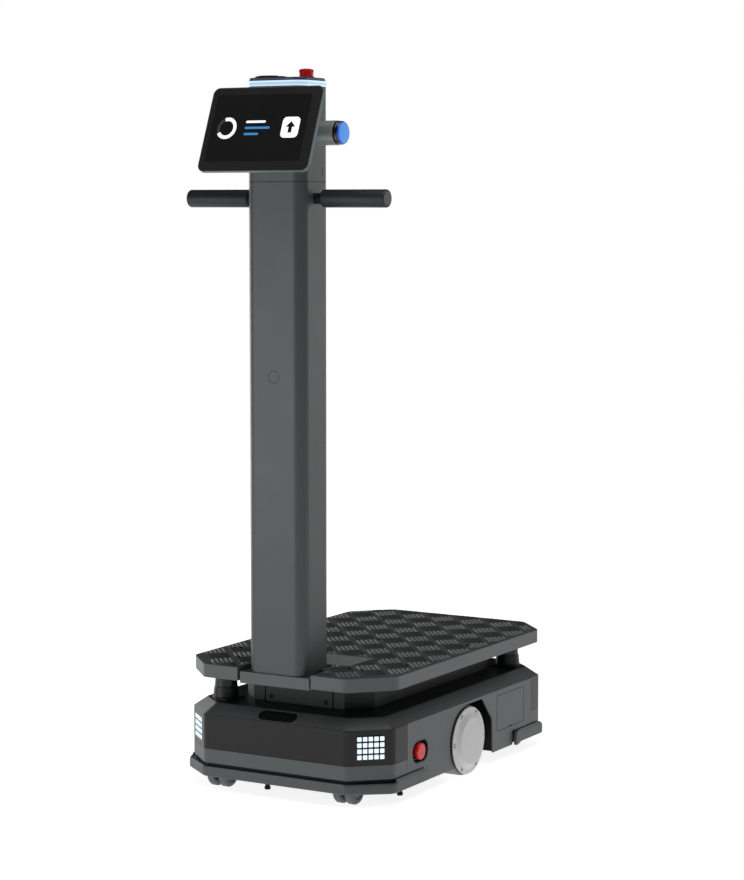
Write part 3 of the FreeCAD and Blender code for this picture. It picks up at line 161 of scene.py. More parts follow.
@dataclass(frozen=True)
class Finish:
    """One finish: what the real surface is made of and how it catches light.

    Sizes of patterns are millimetres on the object.  A finish with a glow attribute brightens
    from glow_colour to white where the piece's own attribute of that name rises from 0 to 1.
    """
    name: str
    colour: str
    roughness: float
    metallic: float = 0.0
    ior: float = 1.5
    surface: Surface = Surface.GRAIN
    grain_mm: float = 3.0
    depth_mm: float = 0.03
    mottle_mm: float = 90.0
    mottle: float = 0.05
    roughness_drift: float = 0.05
    specular: float = 0.5
    coat: float = 0.0
    coat_roughness: float = 0.05
    glow: float = 0.0
    glow_colour: str = "FFFFFF"
    glow_attribute: str = ""

    def relief(self, tree: bpy.types.NodeTree, place: bpy.types.NodeSocket) -> bpy.types.NodeSocket:
        """Height pattern of the surface, between 0 and 1.

        Args:
            tree: the material's node tree.
            place: object coordinates in metres.

        Returns:
            The socket that carries the height.
        """
        scale = 1 / (self.grain_mm * MM)
        if self.surface is Surface.LINES:
            drawn = add_node(tree, "Mapping", {"Vector": place, "Scale": DRAWN_UPRIGHT})
            return add_node(tree, "TexNoise", {"Vector": drawn.outputs["Vector"], "Scale": scale,
                                               "Detail": 3.0}).outputs["Fac"]
        return add_node(tree, "TexNoise", {"Vector": place, "Scale": scale, "Detail": 2.0,
                                           "Roughness": 0.6}).outputs["Fac"]

    def material(self) -> bpy.types.Material:
        """Build the material, or return the one already built.

        Returns:
            A node material that reads object coordinates.
        """
        known = bpy.data.materials.get(self.name)
        if known is not None:
            return known
        made = bpy.data.materials.new(self.name)
        made.use_nodes = True
        tree = made.node_tree
        tree.nodes.clear()
        place = add_node(tree, "TexCoord").outputs["Object"]
        slow = add_node(tree, "TexNoise", {"Vector": place, "Scale": 1 / (self.mottle_mm * MM),
                                           "Detail": 3.0}).outputs["Fac"]
        base = linear(self.colour)
        dark = tuple(c * (1 - self.mottle) for c in base[:3]) + (1.0,)
        light = tuple(min(1.0, c * (1 + self.mottle)) for c in base[:3]) + (1.0,)
        tint = add_node(tree, "Mix", {"Factor": slow, 6: dark, 7: light}, data_type="RGBA")
        rough = add_node(tree, "MapRange", {"Value": slow,
                                            "To Min": max(0.02, self.roughness - self.roughness_drift),
                                            "To Max": min(1.0, self.roughness + self.roughness_drift)})
        inputs = {"Base Color": tint.outputs[2], "Roughness": rough.outputs["Result"],
                  "Metallic": self.metallic, "IOR": self.ior, "Specular IOR Level": self.specular,
                  "Coat Weight": self.coat, "Coat Roughness": self.coat_roughness,
                  "Emission Color": linear(self.glow_colour), "Emission Strength": self.glow}
        if self.glow_attribute:
            heat = add_node(tree, "Attribute", attribute_name=self.glow_attribute)
            inputs["Emission Color"] = add_node(
                tree, "Mix", {"Factor": heat.outputs["Fac"], 6: linear(self.glow_colour),
                              7: linear("FFFFFF")}, data_type="RGBA").outputs[2]
        if self.surface is not Surface.SMOOTH:
            bump = add_node(tree, "Bump", {"Height": self.relief(tree, place), "Strength": 1.0,
                                           "Distance": self.depth_mm * MM})
            inputs["Normal"] = bump.outputs["Normal"]
        shader = add_node(tree, "BsdfPrincipled", inputs)
        add_node(tree, "OutputMaterial", {"Surface": shader.outputs["BSDF"]})
        return made


# ---- Finishes ------------------------------------------------------------------------------------
def acrylic(name: str, colour: str, roughness: float = 0.3, **more: float | str) -> Finish:
    """Finish of acrylic, which is smooth and has its own index of refraction."""
    return Finish(name, colour, roughness, ior=ACRYLIC_IOR, surface=Surface.SMOOTH, **more)


class Finishes:
    """Every finish on the robot, named for the real material."""

    # Moulded ABS with a fine matt spark texture: soft, even highlights.
    SHELL = Finish("moulded_abs_shell", "525859", 0.42, grain_mm=1.6, depth_mm=0.012, mottle=0.03,
                   specular=0.8)
    # Smoked acrylic: dark, smooth and glossy.
    BAND = acrylic("smoked_acrylic_band", "1B1B1B", mottle=0.02, specular=0.4)
    # Brown-grey smoked acrylic of the rear band.
    REAR_BAND = acrylic("smoked_acrylic_rear_band", "403D3A", mottle=0.02)
    # Black mask printed behind the acrylic, round the lit cells.
    MASK = acrylic("black_printed_mask", "131313", mottle=0.02)
    # Clear acrylic light guides behind the lit cells.
    GUIDE = acrylic("acrylic_guide", "C9D2D8", 0.35, glow=0.55, glow_colour="C4DAEE")
    # Diffusing caps over white LEDs: bluish at the rim, white in the middle.
    LED = acrylic("lit_led_cap", "DCE6EE", 0.35, glow=0.95, glow_colour="CBDFF0",
                  glow_attribute="heat")
    # Infrared-black acrylic in front of the camera.
    WINDOW = acrylic("black_acrylic_window", "0E0F10", 0.12)
    # Black anodised camera body.
    CAMERA = Finish("black_anodised_camera", "101112", 0.35, metallic=0.3, surface=Surface.SMOOTH)
    # Powder-coated black steel: fine orange peel.
    DECK = Finish("black_powder_coat", "191C1C", 0.45, grain_mm=1.2, depth_mm=0.02, specular=0.4)
    # Dark grey powder-coated tub and pedestal.
    TUB = Finish("dark_powder_coat", "3A3D3E", 0.5, grain_mm=1.2, depth_mm=0.03, specular=0.35)
    # Black powder-coated frame.
    FRAME = Finish("frame_powder_coat", "1A1B1C", 0.6, grain_mm=1.2, depth_mm=0.03, specular=0.25)
    # Blue shrink-wrapped battery case.
    BATTERY = Finish("battery_case_abs", "2A4E78", 0.45, grain_mm=2.0, depth_mm=0.02)
    # Grey folded-steel controller case.
    CONTROLLER = Finish("controller_case_paint", "3B3F42", 0.45, grain_mm=1.6, depth_mm=0.02)
    # Zinc-plated steel: drawn lines and a cool shine.
    STEEL = Finish("zinc_plated_steel", "9A9C9E", 0.32, metallic=1.0, surface=Surface.LINES,
                   grain_mm=0.6, depth_mm=0.01)
    # Blackened steel screws.
    SCREW = Finish("blackened_steel", "121314", 0.4, metallic=0.6, grain_mm=0.8, depth_mm=0.01)
    # Natural grey rubber tyre, slightly dusty.
    TYRE = Finish("grey_rubber_tyre", "8B8E8F", 0.6, grain_mm=1.5, depth_mm=0.05, mottle=0.08)
    # Cast aluminium hub.
    HUB = Finish("cast_aluminium_hub", "A2A4A5", 0.4, metallic=1.0, grain_mm=1.0, depth_mm=0.04)
    # Light grey satin lacquer on the wheel covers.
    COVER = Finish("grey_satin_lacquer", "E8E8E8", 0.45, grain_mm=1.5, depth_mm=0.012, mottle=0.02)
    # Black rubber edge of the wheel covers.
    COVER_EDGE = Finish("black_rubber_edge", "3A3D3D", 0.55, grain_mm=1.0, depth_mm=0.02)
    # Glass-filled nylon caster forks.
    CASTER = Finish("black_nylon_fork", "2A2D2E", 0.5, grain_mm=1.2, depth_mm=0.03)
    # Grey polyurethane caster tyres.
    CASTER_TYRE = Finish("grey_polyurethane", "6A6E70", 0.45, grain_mm=2.0, depth_mm=0.03)
    # Matt rubber skin over the bumpers' switches.
    BUMPER = Finish("grey_bumper_rubber", "525859", 0.45, grain_mm=1.6, depth_mm=0.02, mottle=0.04,
                    specular=0.7)
    # Black moulded housing of the scanners.
    SCANNER = Finish("black_scanner_housing", "1D2326", 0.4, grain_mm=1.5, depth_mm=0.02)
    # Smoked polycarbonate window round the scanner's dome.
    SCANNER_LENS = Finish("smoked_scanner_window", "161A1C", 0.2, surface=Surface.SMOOTH)
    # Grey powder-coated tray.
    TRAY = Finish("grey_powder_coat", "555B5C", 0.42, grain_mm=1.4, depth_mm=0.02, mottle=0.03,
                  specular=0.8)
    # Moulded rubber mat.
    MAT = Finish("moulded_rubber_mat", "5A5C5D", 0.55, grain_mm=1.6, depth_mm=0.06, mottle=0.06,
                 specular=0.4)
    # Dark rubber gasket pressed into the joints between covers.
    GASKET = Finish("dark_gasket_rubber", "101112", 0.6, grain_mm=1.0, depth_mm=0.02, specular=0.3)
    # Light copy of the mat's rubber on one direction of ridges: a painted highlight where the lamps catch
    # their sides.
    MAT_PAINTED_HIGHLIGHT = Finish("rubber_ridge_painted_highlight", "8C8E8E", 0.42, grain_mm=1.2, depth_mm=0.04,
                       mottle=0.1, specular=0.7)
    # Dark copy of the same rubber on the ridges of the other direction: painted shade where their sides turn
    # from the lamps.
    MAT_PAINTED_SHADE = Finish("rubber_ridge_painted_shade", "404243", 0.55, grain_mm=1.2, depth_mm=0.04,
                       mottle=0.08, specular=0.4)
    # Bead-blasted steel plate over the column's foot, painted lighter than the tray to stand in for the
    # light on its upward face.
    FOOT_COVER = Finish("foot_cover_painted_light", "9C9E9E", 0.5, metallic=0.2, grain_mm=1.2,
                        depth_mm=0.015)
    # Satin powder coat on the extruded aluminium column.
    COLUMN = Finish("satin_grey_column", "454B4C", 0.4, grain_mm=1.3, depth_mm=0.012, mottle=0.02,
                    specular=0.8)
    # Moulded ABS head casing, the same grey.
    HEAD = Finish("moulded_abs_head", "444A4B", 0.4, grain_mm=1.3, depth_mm=0.012, mottle=0.02,
                  specular=0.8)
    # Bead-blasted aluminium tube of the start button's housing, its grey painted far lighter to make up for
    # the tablet's shade on it.
    HOUSING = Finish("housing_painted_light", "A0A5A6", 0.4, metallic=0.25, grain_mm=1.0,
                     depth_mm=0.01)
    # Opal acrylic ring lit from inside.
    RING = acrylic("lit_opal_acrylic", "A9B6C0", glow=0.72, glow_colour="E6F6FF")
    # The same opal acrylic where the row of LEDs shines through.
    RING_CORE = acrylic("lit_opal_acrylic_core", "94BCDA", glow=0.66, glow_colour="AEDCF8")
    # Clear blue acrylic seams above and below the opal band.
    RING_EDGE = acrylic("blue_acrylic_seam", "12309A", 0.25, glow=0.3, glow_colour="1030A0")
    # Dark ASA plastic of the radio puck.
    PUCK = Finish("black_asa_puck", "1A1D1F", 0.5, grain_mm=1.0, depth_mm=0.03)
    # Dark moulded collar under the top stop.
    COLLAR = Finish("dark_moulded_collar", "303334", 0.45, grain_mm=1.5, depth_mm=0.01)
    # Glossy red polycarbonate, with a faint painted red glow that stands in for light from above; the stops
    # have no lamp inside.
    RED = Finish("red_polycarbonate", "E21E22", 0.26, grain_mm=2.0, depth_mm=0.01, mottle=0.03,
                 coat=0.3, glow=0.1, glow_colour="E02020")
    # Light grey ring pressed round the side stops' heads.
    STOP_RING = Finish("grey_moulded_ring", "8A8D8E", 0.4, grain_mm=1.5, depth_mm=0.01)
    # Black cups of the side stops.
    CUP = Finish("black_abs_cup", "191B1C", 0.45, grain_mm=1.5, depth_mm=0.02)
    # Black anodised collar of the start button.
    BLACK_ANODISED = Finish("black_anodised_collar", "17191B", 0.3, metallic=0.5, grain_mm=1.0,
                            depth_mm=0.01)
    # Turned bronze-brown trim ring of the start button.
    TRIM = Finish("turned_trim_ring", "8A7A6C", 0.28, metallic=1.0, surface=Surface.LINES,
                  grain_mm=0.5, depth_mm=0.01)
    # Blue translucent button, lit from inside.
    BLUE = Finish("blue_lit_polycarbonate", "3A78C0", 0.3, grain_mm=2.0, depth_mm=0.01, glow=0.6,
                  glow_colour="3F8AE0")
    # The button's skirt, where less of the light comes through.
    BLUE_SKIRT = Finish("deep_blue_polycarbonate", "1B4FC4", 0.3, grain_mm=2.0, depth_mm=0.01,
                        glow=0.45, glow_colour="1A55D8")
    # Black powder-coated handle bar.
    BAR = Finish("black_coated_bar", "15181A", 0.4, grain_mm=1.2, depth_mm=0.02)
    # Black foam-rubber grips.
    GRIP = Finish("black_rubber_grip", "262E30", 0.5, grain_mm=1.2, depth_mm=0.03, mottle=0.04)
    # Grey moulded end caps of the grips.
    GRIP_END = Finish("grey_end_cap", "4E5658", 0.45, grain_mm=1.2, depth_mm=0.02)
    # Dark anodised tablet shell.
    TABLET = Finish("anodised_tablet_shell", "6C777B", 0.38, metallic=0.2, grain_mm=1.0,
                    depth_mm=0.01)
    # Tablet's cover glass over a black printed border.
    GLASS = Finish("cover_glass", "313131", 0.3, surface=Surface.SMOOTH, specular=0.4)
    # The display's dark ground.
    DISPLAY = Finish("dark_display", "242424", 0.3, surface=Surface.SMOOTH, specular=0.4)
    # White marks lit on the display.
    LIT_MARK = Finish("lit_display_mark", "E8ECEE", 0.3, surface=Surface.SMOOTH, glow=0.8,
                      glow_colour="F4F8FA")
    # Grey track of the charge gauge.
    FAINT_MARK = Finish("faint_display_mark", "4A4E50", 0.3, surface=Surface.SMOOTH, glow=0.1,
                        glow_colour="4A4E50")
    # Dim blue marks lit on the display.
    DIM_MARK = Finish("dim_display_mark", "3F88C8", 0.3, surface=Surface.SMOOTH, glow=0.45,
                      glow_colour="4796DC")
    # Black nylon charging socket.
    SOCKET = Finish("black_nylon_socket", "17191A", 0.45, grain_mm=1.2, depth_mm=0.03)


# ---- Making pieces -------------------------------------------------------------------------------
def soften(piece: bpy.types.Object) -> None:
    """Break a piece's sharp edges so that they catch light, without changing its size."""
    weld = piece.modifiers.new("weld", "WELD")
    weld.merge_threshold = 0.01 * MM
    flat = piece.modifiers.new("flat", "DECIMATE")
    flat.decimate_type = "DISSOLVE"
    flat.angle_limit = math.radians(0.5)
    bevel = piece.modifiers.new("bevel", "BEVEL")
    bevel.width = EDGE_WIDTH * MM
    bevel.segments = EDGE_FACES
    bevel.limit_method = "ANGLE"
    bevel.angle_limit = math.radians(EDGE_ANGLE)
    bevel.use_clamp_overlap = True
    bevel.harden_normals = False
    shade = piece.modifiers.new("shade", "WEIGHTED_NORMAL")
    shade.keep_sharp = True
    shade.weight = 80
    piece.data.shade_smooth()


class Skin:
    """Surfaces of one piece, gathered before they go into a mesh.

    A surface is a grid of points: rows run along a profile and columns run round it.
    """

    def __init__(self) -> None:
        """Start with no surface."""
        self.points: list[Array] = []
        self.faces: list[list[int]] = []
        self.marks: list[int] = []
        self.count = 0

    def tube(self, grid: Array, marks: int | list[int] = 0) -> None:
        """Add one closed surface, given as (rows, columns, 3); marks are those of tubes."""
        self.tubes(grid[None], marks)

    def tubes(self, grids: Array, marks: int | list[int] = 0) -> None:
        """Add closed surfaces of one size: grids that wrap round their columns, with flat ends.

        Args:
            grids: points as (pieces, rows, columns, 3).
            marks: finish number of the whole, or one a strip between rows.
        """
        pieces, rows, columns = grids.shape[:3]
        index = self.count + np.arange(pieces * rows * columns).reshape(pieces, rows, columns)
        following = np.roll(index, -1, axis=2)
        quads = np.stack([index[:, :-1], following[:, :-1], following[:, 1:], index[:, 1:]], axis=-1)
        ends = np.concatenate([index[:, 0, ::-1], index[:, -1]])
        strips = [marks] * (rows - 1) if isinstance(marks, int) else marks
        self.faces += quads.reshape(-1, 4).tolist() + ends.tolist()
        self.marks += np.repeat(strips, columns).tolist() * pieces
        self.marks += [strips[0]] * pieces + [strips[-1]] * pieces
        self.points.append(grids.reshape(-1, 3))
        self.count += pieces * rows * columns

    def ring(self, grid: Array, mark: int = 0) -> None:
        """Add a surface that wraps both ways, such as a frame, given as (rows, columns, 3)."""
        rows, columns = grid.shape[:2]
        index = self.count + np.arange(rows * columns).reshape(rows, columns)
        across = np.roll(index, -1, axis=0)
        quads = np.stack([index, np.roll(index, -1, axis=1), np.roll(across, -1, axis=1), across], axis=-1)
        self.faces += quads.reshape(-1, 4).tolist()
        self.marks += [mark] * (rows * columns)
        self.points.append(grid.reshape(-1, 3))
        self.count += rows * columns

    def piece(self, name: str, body: str, slot: str, *finishes: Finish, stands_for: tuple[str, ...] = (),
              sharp: float = 32.0) -> bpy.types.Object:
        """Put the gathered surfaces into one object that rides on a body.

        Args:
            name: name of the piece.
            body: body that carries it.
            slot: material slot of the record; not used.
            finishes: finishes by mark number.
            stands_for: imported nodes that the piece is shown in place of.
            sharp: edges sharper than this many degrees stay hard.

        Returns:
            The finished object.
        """
        mesh = bpy.data.meshes.new(name)
        mesh.from_pydata(np.concatenate(self.points).tolist(), [], self.faces)
        for finish in finishes:
            mesh.materials.append(finish.material())
        mesh.polygons.foreach_set("material_index", self.marks)
        shape = bmesh.new()
        shape.from_mesh(mesh)
        bmesh.ops.remove_doubles(shape, verts=shape.verts, dist=1e-6)
        bmesh.ops.recalc_face_normals(shape, faces=shape.faces)
        shape.to_mesh(mesh)
        shape.free()
        mesh.shade_smooth()
        mesh.set_sharp_from_angle(angle=math.radians(sharp))
        made = bpy.data.objects.new(name, mesh)
        bpy.context.scene.collection.objects.link(made)
        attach(made, body)
        if stands_for:
            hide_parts(*stands_for)
        log.info("%s on %s: %d faces", name, body, len(mesh.polygons))
        return made


def lathe(profile: list[tuple[float, float]], centre: Array, axis: Array, columns: int = 72) -> Array:
    """Surface turned about a line: centre + height * axis + radius * (cos t, sin t) across it.

    Args:
        profile: (height along the axis, radius) pairs in millimetres.
        centre: a point of the axis in metres.
        axis: direction of the axis, of length 1.
        columns: points round the axis.

    Returns:
        Points as (rows, columns, 3).
    """
    heights, radii = np.array(profile).T[:, :, None, None] * MM
    side = np.cross(axis, UP if abs(axis[2]) < 0.9 else ACROSS)
    side /= np.linalg.norm(side)
    turn = np.linspace(0, FULL_TURN, columns, endpoint=False)[:, None]
    spokes = np.cos(turn) * side + np.sin(turn) * np.cross(axis, side)
    return centre + heights * axis + radii * spokes


def turned(profile: list[tuple[float, float]], centre: Array, axis: Array, columns: int, name: str,
           slot: str, *finishes: Finish, body: str = BASE, marks: int | list[int] = 0,
           stands_for: tuple[str, ...] = ()) -> None:
    """Make one piece from one turned surface.

    Args:
        profile: (height along the axis, radius) pairs in millimetres.
        centre: a point of the axis in metres.
        axis: direction of the axis, of length 1.
        columns: points round the axis.
        name: name of the piece.
        slot: material slot of the record.
        finishes: finishes by mark number.
        body: body that carries it.
        marks: finish number of the whole, or one a strip of the profile.
        stands_for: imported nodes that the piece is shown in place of.
    """
    skin = Skin()
    skin.tube(lathe(profile, centre, axis, columns), marks)
    skin.piece(name, body, slot, *finishes, stands_for=stands_for)


def rounded_loop(width: float, depth: float, radius: float, steps: int = 10) -> Array:
    """Closed rounded rectangle: each corner is its centre plus radius * (cos t, sin t) over 90 degrees.

    Args:
        width: size along the first axis.
        depth: size along the second axis.
        radius: corner radius.
        steps: points on each corner.

    Returns:
        Points as (4 * steps, 2), counter-clockwise.
    """
    quarter = np.linspace(0, math.pi / 2, steps)
    turn = (np.arange(4)[:, None] * math.pi / 2 + quarter).reshape(-1)
    signs = np.repeat([[1, 1], [-1, 1], [-1, -1], [1, -1]], steps, axis=0)
    centres = signs * [width / 2 - radius, depth / 2 - radius]
    return centres + radius * np.stack([np.cos(turn), np.sin(turn)], axis=1)


def slab(outline: tuple[float, float, float], profile: list[tuple[float, float]], origin: Array,
         right: Array, up: Array, steps: int = 10) -> Array:
    """Rounded oblong built up in layers: origin + u * right + v * up + height * outwards.

    Args:
        outline: width, height and corner radius in metres.
        profile: (height, inset) pairs in millimetres, from the back to the front.
        origin: middle of the slab's zero plane.
        right: direction of its width.
        up: direction of its height.
        steps: points on each corner.

    Returns:
        Points as (rows, columns, 3).
    """
    width, tall, radius = outline
    outwards = np.cross(right, up)
    rows = []
    for height, inset in profile:
        loop = rounded_loop(width - 2 * inset * MM, tall - 2 * inset * MM,
                            max(radius - inset * MM, 0.05 * MM), steps)
        rows.append(origin + loop[:, :1] * right + loop[:, 1:] * up + height * MM * outwards)
    return np.array(rows)


def frame_line(outline: tuple[float, float, float], width: float, heights: tuple[float, float],
               origin: Array, right: Array, up: Array, steps: int = 8) -> Array:
    """Thin frame: two rounded rectangles a line's width apart, carried from one height to another.

    Args:
        outline: width, height and corner radius of the outer line in millimetres.
        width: width of the line in millimetres.
        heights: back and front of the line, out from the origin, in millimetres.
        origin: middle of the frame in metres.
        right: direction of its width.
        up: direction of its height.
        steps: points on each corner.

    Returns:
        Points as (4, columns, 3), for a surface that wraps both ways.
    """
    wide, tall, radius = outline
    outer = rounded_loop(wide, tall, radius, steps)
    inner = rounded_loop(wide - 2 * width, tall - 2 * width, max(radius - width, 0.1), steps)
    back, front = heights
    outwards = np.cross(right, up)
    rows = [(outer, back), (outer, front), (inner, front), (inner, back)]
    return np.array([origin + (loop[:, :1] * right + loop[:, 1:] * up + level * outwards) * MM
                     for loop, level in rows])


# ---- Base ----------------------------------------------------------------------------------------
@dataclass
class CornerLights:
    """Two matrices of lit caps in the front band's cut corners, in millimetres."""
    columns: int = 5
    rows: int = 4
    pitch_across: float = 11.7
    pitch_up: float = 12.4
    cap: float = 8.9
    corner_r: float = 1.0
    height: float = 120.8
    mask: tuple[float, float, float] = (61.5, 52.5, 2.5)
    along: float = 50.0
    cut: tuple[float, float] = (72.0, 66.0)
    cut_start: tuple[float, float] = (171.0, -394.0)

    def corner(self) -> tuple[Array, Array, Array]:
        """Middle of the left matrix's face, the direction along the cut corner, and outwards."""
        direction = np.array([*self.cut, 0.0])
        direction /= np.linalg.norm(direction)
        start = np.array([*self.cut_start, self.height])
        centre = (start + self.along * direction) * MM + BASE_Y * AHEAD
        return centre, direction, np.cross(direction, UP)

    def build(self) -> None:
        """Build every cap from rounded squares that shrink as they rise, brightest in the middle."""
        centre, along, outwards = self.corner()
        layers = np.array([(-0.8, 0.0, 0.0), (0.06, 0.0, 0.1), (0.2, 0.5, 0.3), (0.3, 1.4, 0.6),
                           (0.36, 2.8, 1.0)])
        loop = rounded_loop(self.cap, self.cap, self.corner_r, 3)
        shrink = 1 - 2 * layers[:, 1] / self.cap
        flat = shrink[:, None, None] * loop
        spots_u = (np.arange(self.columns) - (self.columns - 1) / 2) * self.pitch_across
        spots_v = (np.arange(self.rows) - (self.rows - 1) / 2) * self.pitch_up
        spots = np.stack(np.meshgrid(spots_u, spots_v), axis=-1).reshape(-1, 1, 1, 2)
        face = (spots + flat) * MM
        left = (centre + face[..., :1] * along + face[..., 1:] * UP
                + layers[:, 0][:, None, None] * MM * outwards)
        skin = Skin()
        skin.tubes(np.concatenate([left, left * [-1, 1, 1]]))
        wide, tall, radius = self.mask
        sheet = Skin()
        plate = slab((wide * MM, tall * MM, radius * MM), [(-0.2, 0.0), (0.02, 0.0), (0.05, 0.1)], centre,
                     along, UP, 5)
        sheet.tubes(np.array([plate, plate * [-1, 1, 1]]))
        sheet.piece("led_masks", BASE, "band_acrylic", Finishes.MASK)
        caps = skin.piece("led_caps", BASE, "light_guide", Finishes.LED, stands_for=("light_guides",),
                          sharp=60.0)
        place = np.empty(len(caps.data.vertices) * 3)
        caps.data.vertices.foreach_get("co", place)
        place = place.reshape(-1, 3)
        place[:, 0] = np.abs(place[:, 0])
        rise = (place - centre) @ outwards / MM
        heat = np.interp(rise, layers[:, 0], layers[:, 2]).astype(np.float32)
        caps.data.attributes.new("heat", "FLOAT", "POINT").data.foreach_set("value", heat)


@dataclass
class Fasteners:
    """Small screws, bolts and the blank of the base, in millimetres."""
    screw_x: float = 66.1
    screw_z: float = 188.0
    screw_r: float = 4.4
    screw_sunk: float = 3.0
    bumper_bolts: tuple[tuple[float, float], ...] = ((-20.0, -388.0), (239.0, -297.0), (-239.0, -297.0))
    bolt_r: float = 6.4
    bolt_low: float = 15.5
    bolt_top: float = 29.0
    blank_r: float = 13.0
    blank_from: tuple[float, float] = (24.0, 28.0)

    def build(self) -> None:
        """Set the pedestal's two screws, the deck's blank and the bumper's bolts."""
        front, r = span("pedestal")[0][1] + self.screw_sunk * MM, self.screw_r
        for side, sign in SIDES:
            turned([(-0.6, r), (1.0, r), (1.4, r - 0.4), (1.4, r * 0.55), (0.2, r * 0.5), (0.2, 0.1)],
                   np.array([sign * self.screw_x * MM, front, self.screw_z * MM]), -AHEAD, 28,
                   "pedestal_screw_" + side, "steel", Finishes.SCREW)
        deck = span("deck_plate")[1][2]
        scanner_low, scanner_high = span("laser_scanners")
        x, y = self.blank_from
        spot = np.array([scanner_high[0] - x * MM, scanner_low[1] + y * MM, deck])
        r = self.blank_r
        turned([(-0.2, r), (0.5, r), (0.8, r - 0.5), (0.8, r - 1.3), (0.3, r - 1.8), (0.3, 0.2)], spot,
               UP, 48, "deck_blank", "deck_paint", Finishes.DECK)
        skin = Skin()
        for x, y in self.bumper_bolts:
            foot = np.array([x * MM, BASE_Y + y * MM, 0.0])
            low, r = self.bolt_low, self.bolt_r
            skin.tube(lathe([(low + 0.6, 0.2), (low, 1.0), (low, r - 1.2), (low + 0.8, r - 0.3),
                             (low + 1.6, r), (low + 5.5, r), (low + 6.0, r - 1.4),
                             (self.bolt_top, r - 1.4)], foot, UP, 32))
        skin.piece("bumper_bolts", "front_bumper", "steel", Finishes.SCREW)


@dataclass
class Gaskets:
    """Dark lines in the joints round the hatch and under the head casing, in millimetres."""
    hatch_line: float = 1.3
    hatch_r: float = 7.4
    hatch_room: float = 1.0
    head_line: float = 1.0
    head_width: float = 2.0
    head_proud: float = 0.16
    head_r: float = 25.1

    def build(self) -> None:
        """Press a thin gasket round the hatch, and one between the column and the head casing."""
        low, high = span("service_hatch")
        panel = span("side_panel_left")[1][0]
        width, height = (high - low)[1:] / MM + self.hatch_room
        origin = np.array([panel, (low[1] + high[1]) / 2, (low[2] + high[2]) / 2])
        skin = Skin()
        skin.ring(frame_line((width, height, self.hatch_r), self.hatch_line, (-0.6, 0.06), origin, AHEAD,
                             UP))
        skin.piece("hatch_gasket", BASE, "cup_plastic", Finishes.GASKET)
        low, high = span("column")
        origin = np.array([0.0, (low[1] + high[1]) / 2, high[2] - 0.1 * MM])
        width, depth = (high - low)[:2] / MM + self.head_proud
        skin = Skin()
        skin.ring(frame_line((width, depth, self.head_r), self.head_width, (0.0, self.head_line), origin,
                             ACROSS, AHEAD, 12))
        skin.piece("head_gasket", BASE, "cup_plastic", Finishes.GASKET)


@dataclass
class Scanners:
    """Window band round each scanner, over its packed housing, in millimetres."""
    foot: tuple[float, float] = (28.0, 23.75)
    top: tuple[float, float] = (44.0, 22.65)
    thick: float = 0.55
    from_corner: float = 32.0

    def build(self) -> None:
        """Turn the two windows, which stand a hair proud of the housing's cone."""
        low, high = span("laser_scanners")
        reach = self.from_corner * MM
        deck = low[2]
        for name, spot in (("rear_left", (high[0] - reach, high[1] - reach)),
                           ("front_right", (low[0] + reach, low[1] + reach))):
            (foot, foot_r), (top, top_r) = self.foot, self.top
            turned([(foot, foot_r - self.thick), (foot, foot_r), (top, top_r), (top, top_r - self.thick)],
                   np.array([*spot, deck]), UP, 64, "scanner_window_" + name, "scanner_black",
                   Finishes.SCANNER_LENS)


@dataclass
class SideStop:
    """Pressed ring round the head of one side stop, in millimetres."""
    side: str
    sign: int
    head_r: float = 17.5
    head_gap: float = 0.4
    ring_r: float = 19.5
    behind_face: float = 15.5

    def build(self) -> None:
        """Turn the ring, which stays in the cup when the head is pressed."""
        low, high = span("side_stop_" + self.side)
        head = middle("side_stop_" + self.side)
        face = high[0] if self.sign > 0 else low[0]
        centre = np.array([face - self.sign * self.behind_face * MM, head[1], head[2]])
        skin = Skin()
        inner, r = self.head_r + self.head_gap, self.ring_r
        skin.ring(lathe([(-1.0, inner), (-1.0, r), (1.2, r), (1.8, r - 0.5), (1.8, inner)], centre,
                        self.sign * ACROSS, 56))
        skin.piece("side_stop_ring_" + self.side, BASE, "cup_plastic", Finishes.STOP_RING)


@dataclass
class DriveWheel:
    """Dished cover of one drive wheel with its six screws, in millimetres."""
    side: str
    sign: int
    rim_r: float = 71.4
    rim_x: float = 247.4
    cone_r: float = 60.0
    flat_r: float = 50.4
    edge_r: float = 71.9
    screw_ring_r: float = 63.4
    screw_r: float = 4.6
    screws: int = 6

    def build(self) -> None:
        """Turn the cover from its dark back ring over the rim and the soft cone to the flat middle."""
        node = "wheel_cover_" + self.side
        low, high = span(node)
        axis = self.sign * ACROSS
        centre = middle(node)
        centre[0] = low[0] if self.sign > 0 else high[0]
        rise = (high[0] - low[0]) / MM
        rim = self.rim_x - abs(centre[0]) / MM
        r, flat = self.rim_r, self.flat_r
        profile = [(0.1, 40.0), (0.1, 69.0), (2.6, 69.0), (3.0, self.edge_r), (rim - 2.2, self.edge_r),
                   (rim - 1.9, r - 0.3), (rim - 0.9, r), (rim - 0.3, r - 0.4), (rim, r - 1.2),
                   (rim + 0.3, self.cone_r + 4.0), (rim + 0.6, self.cone_r + 1.2),
                   (rim + 1.3, self.cone_r - 1.2), (rise - 1.4, flat + 1.9), (rise - 0.5, flat + 0.5),
                   (rise - 0.1, flat - 1.2), (rise, flat - 3.0), (rise, 0.5)]
        skin = Skin()
        skin.tube(lathe(profile, centre, axis, 96), [1] * 5 + [0] * (len(profile) - 6))
        turn = np.arange(self.screws) * FULL_TURN / self.screws
        for angle in turn:
            spot = centre + self.screw_ring_r * MM * (math.cos(angle) * AHEAD + math.sin(angle) * UP)
            r = self.screw_r
            skin.tube(lathe([(rim - 0.6, r), (rim + 0.45, r), (rim + 0.6, r - 0.3), (rim + 0.6, r * 0.65),
                             (rim + 0.2, r * 0.5), (rim + 0.2, 0.1)], spot, axis, 20), 2)
        skin.piece("dished_cover_" + self.side, "drive_wheel_" + self.side, "cover_paint",
                   Finishes.COVER, Finishes.COVER_EDGE, Finishes.SCREW, stands_for=(node,))


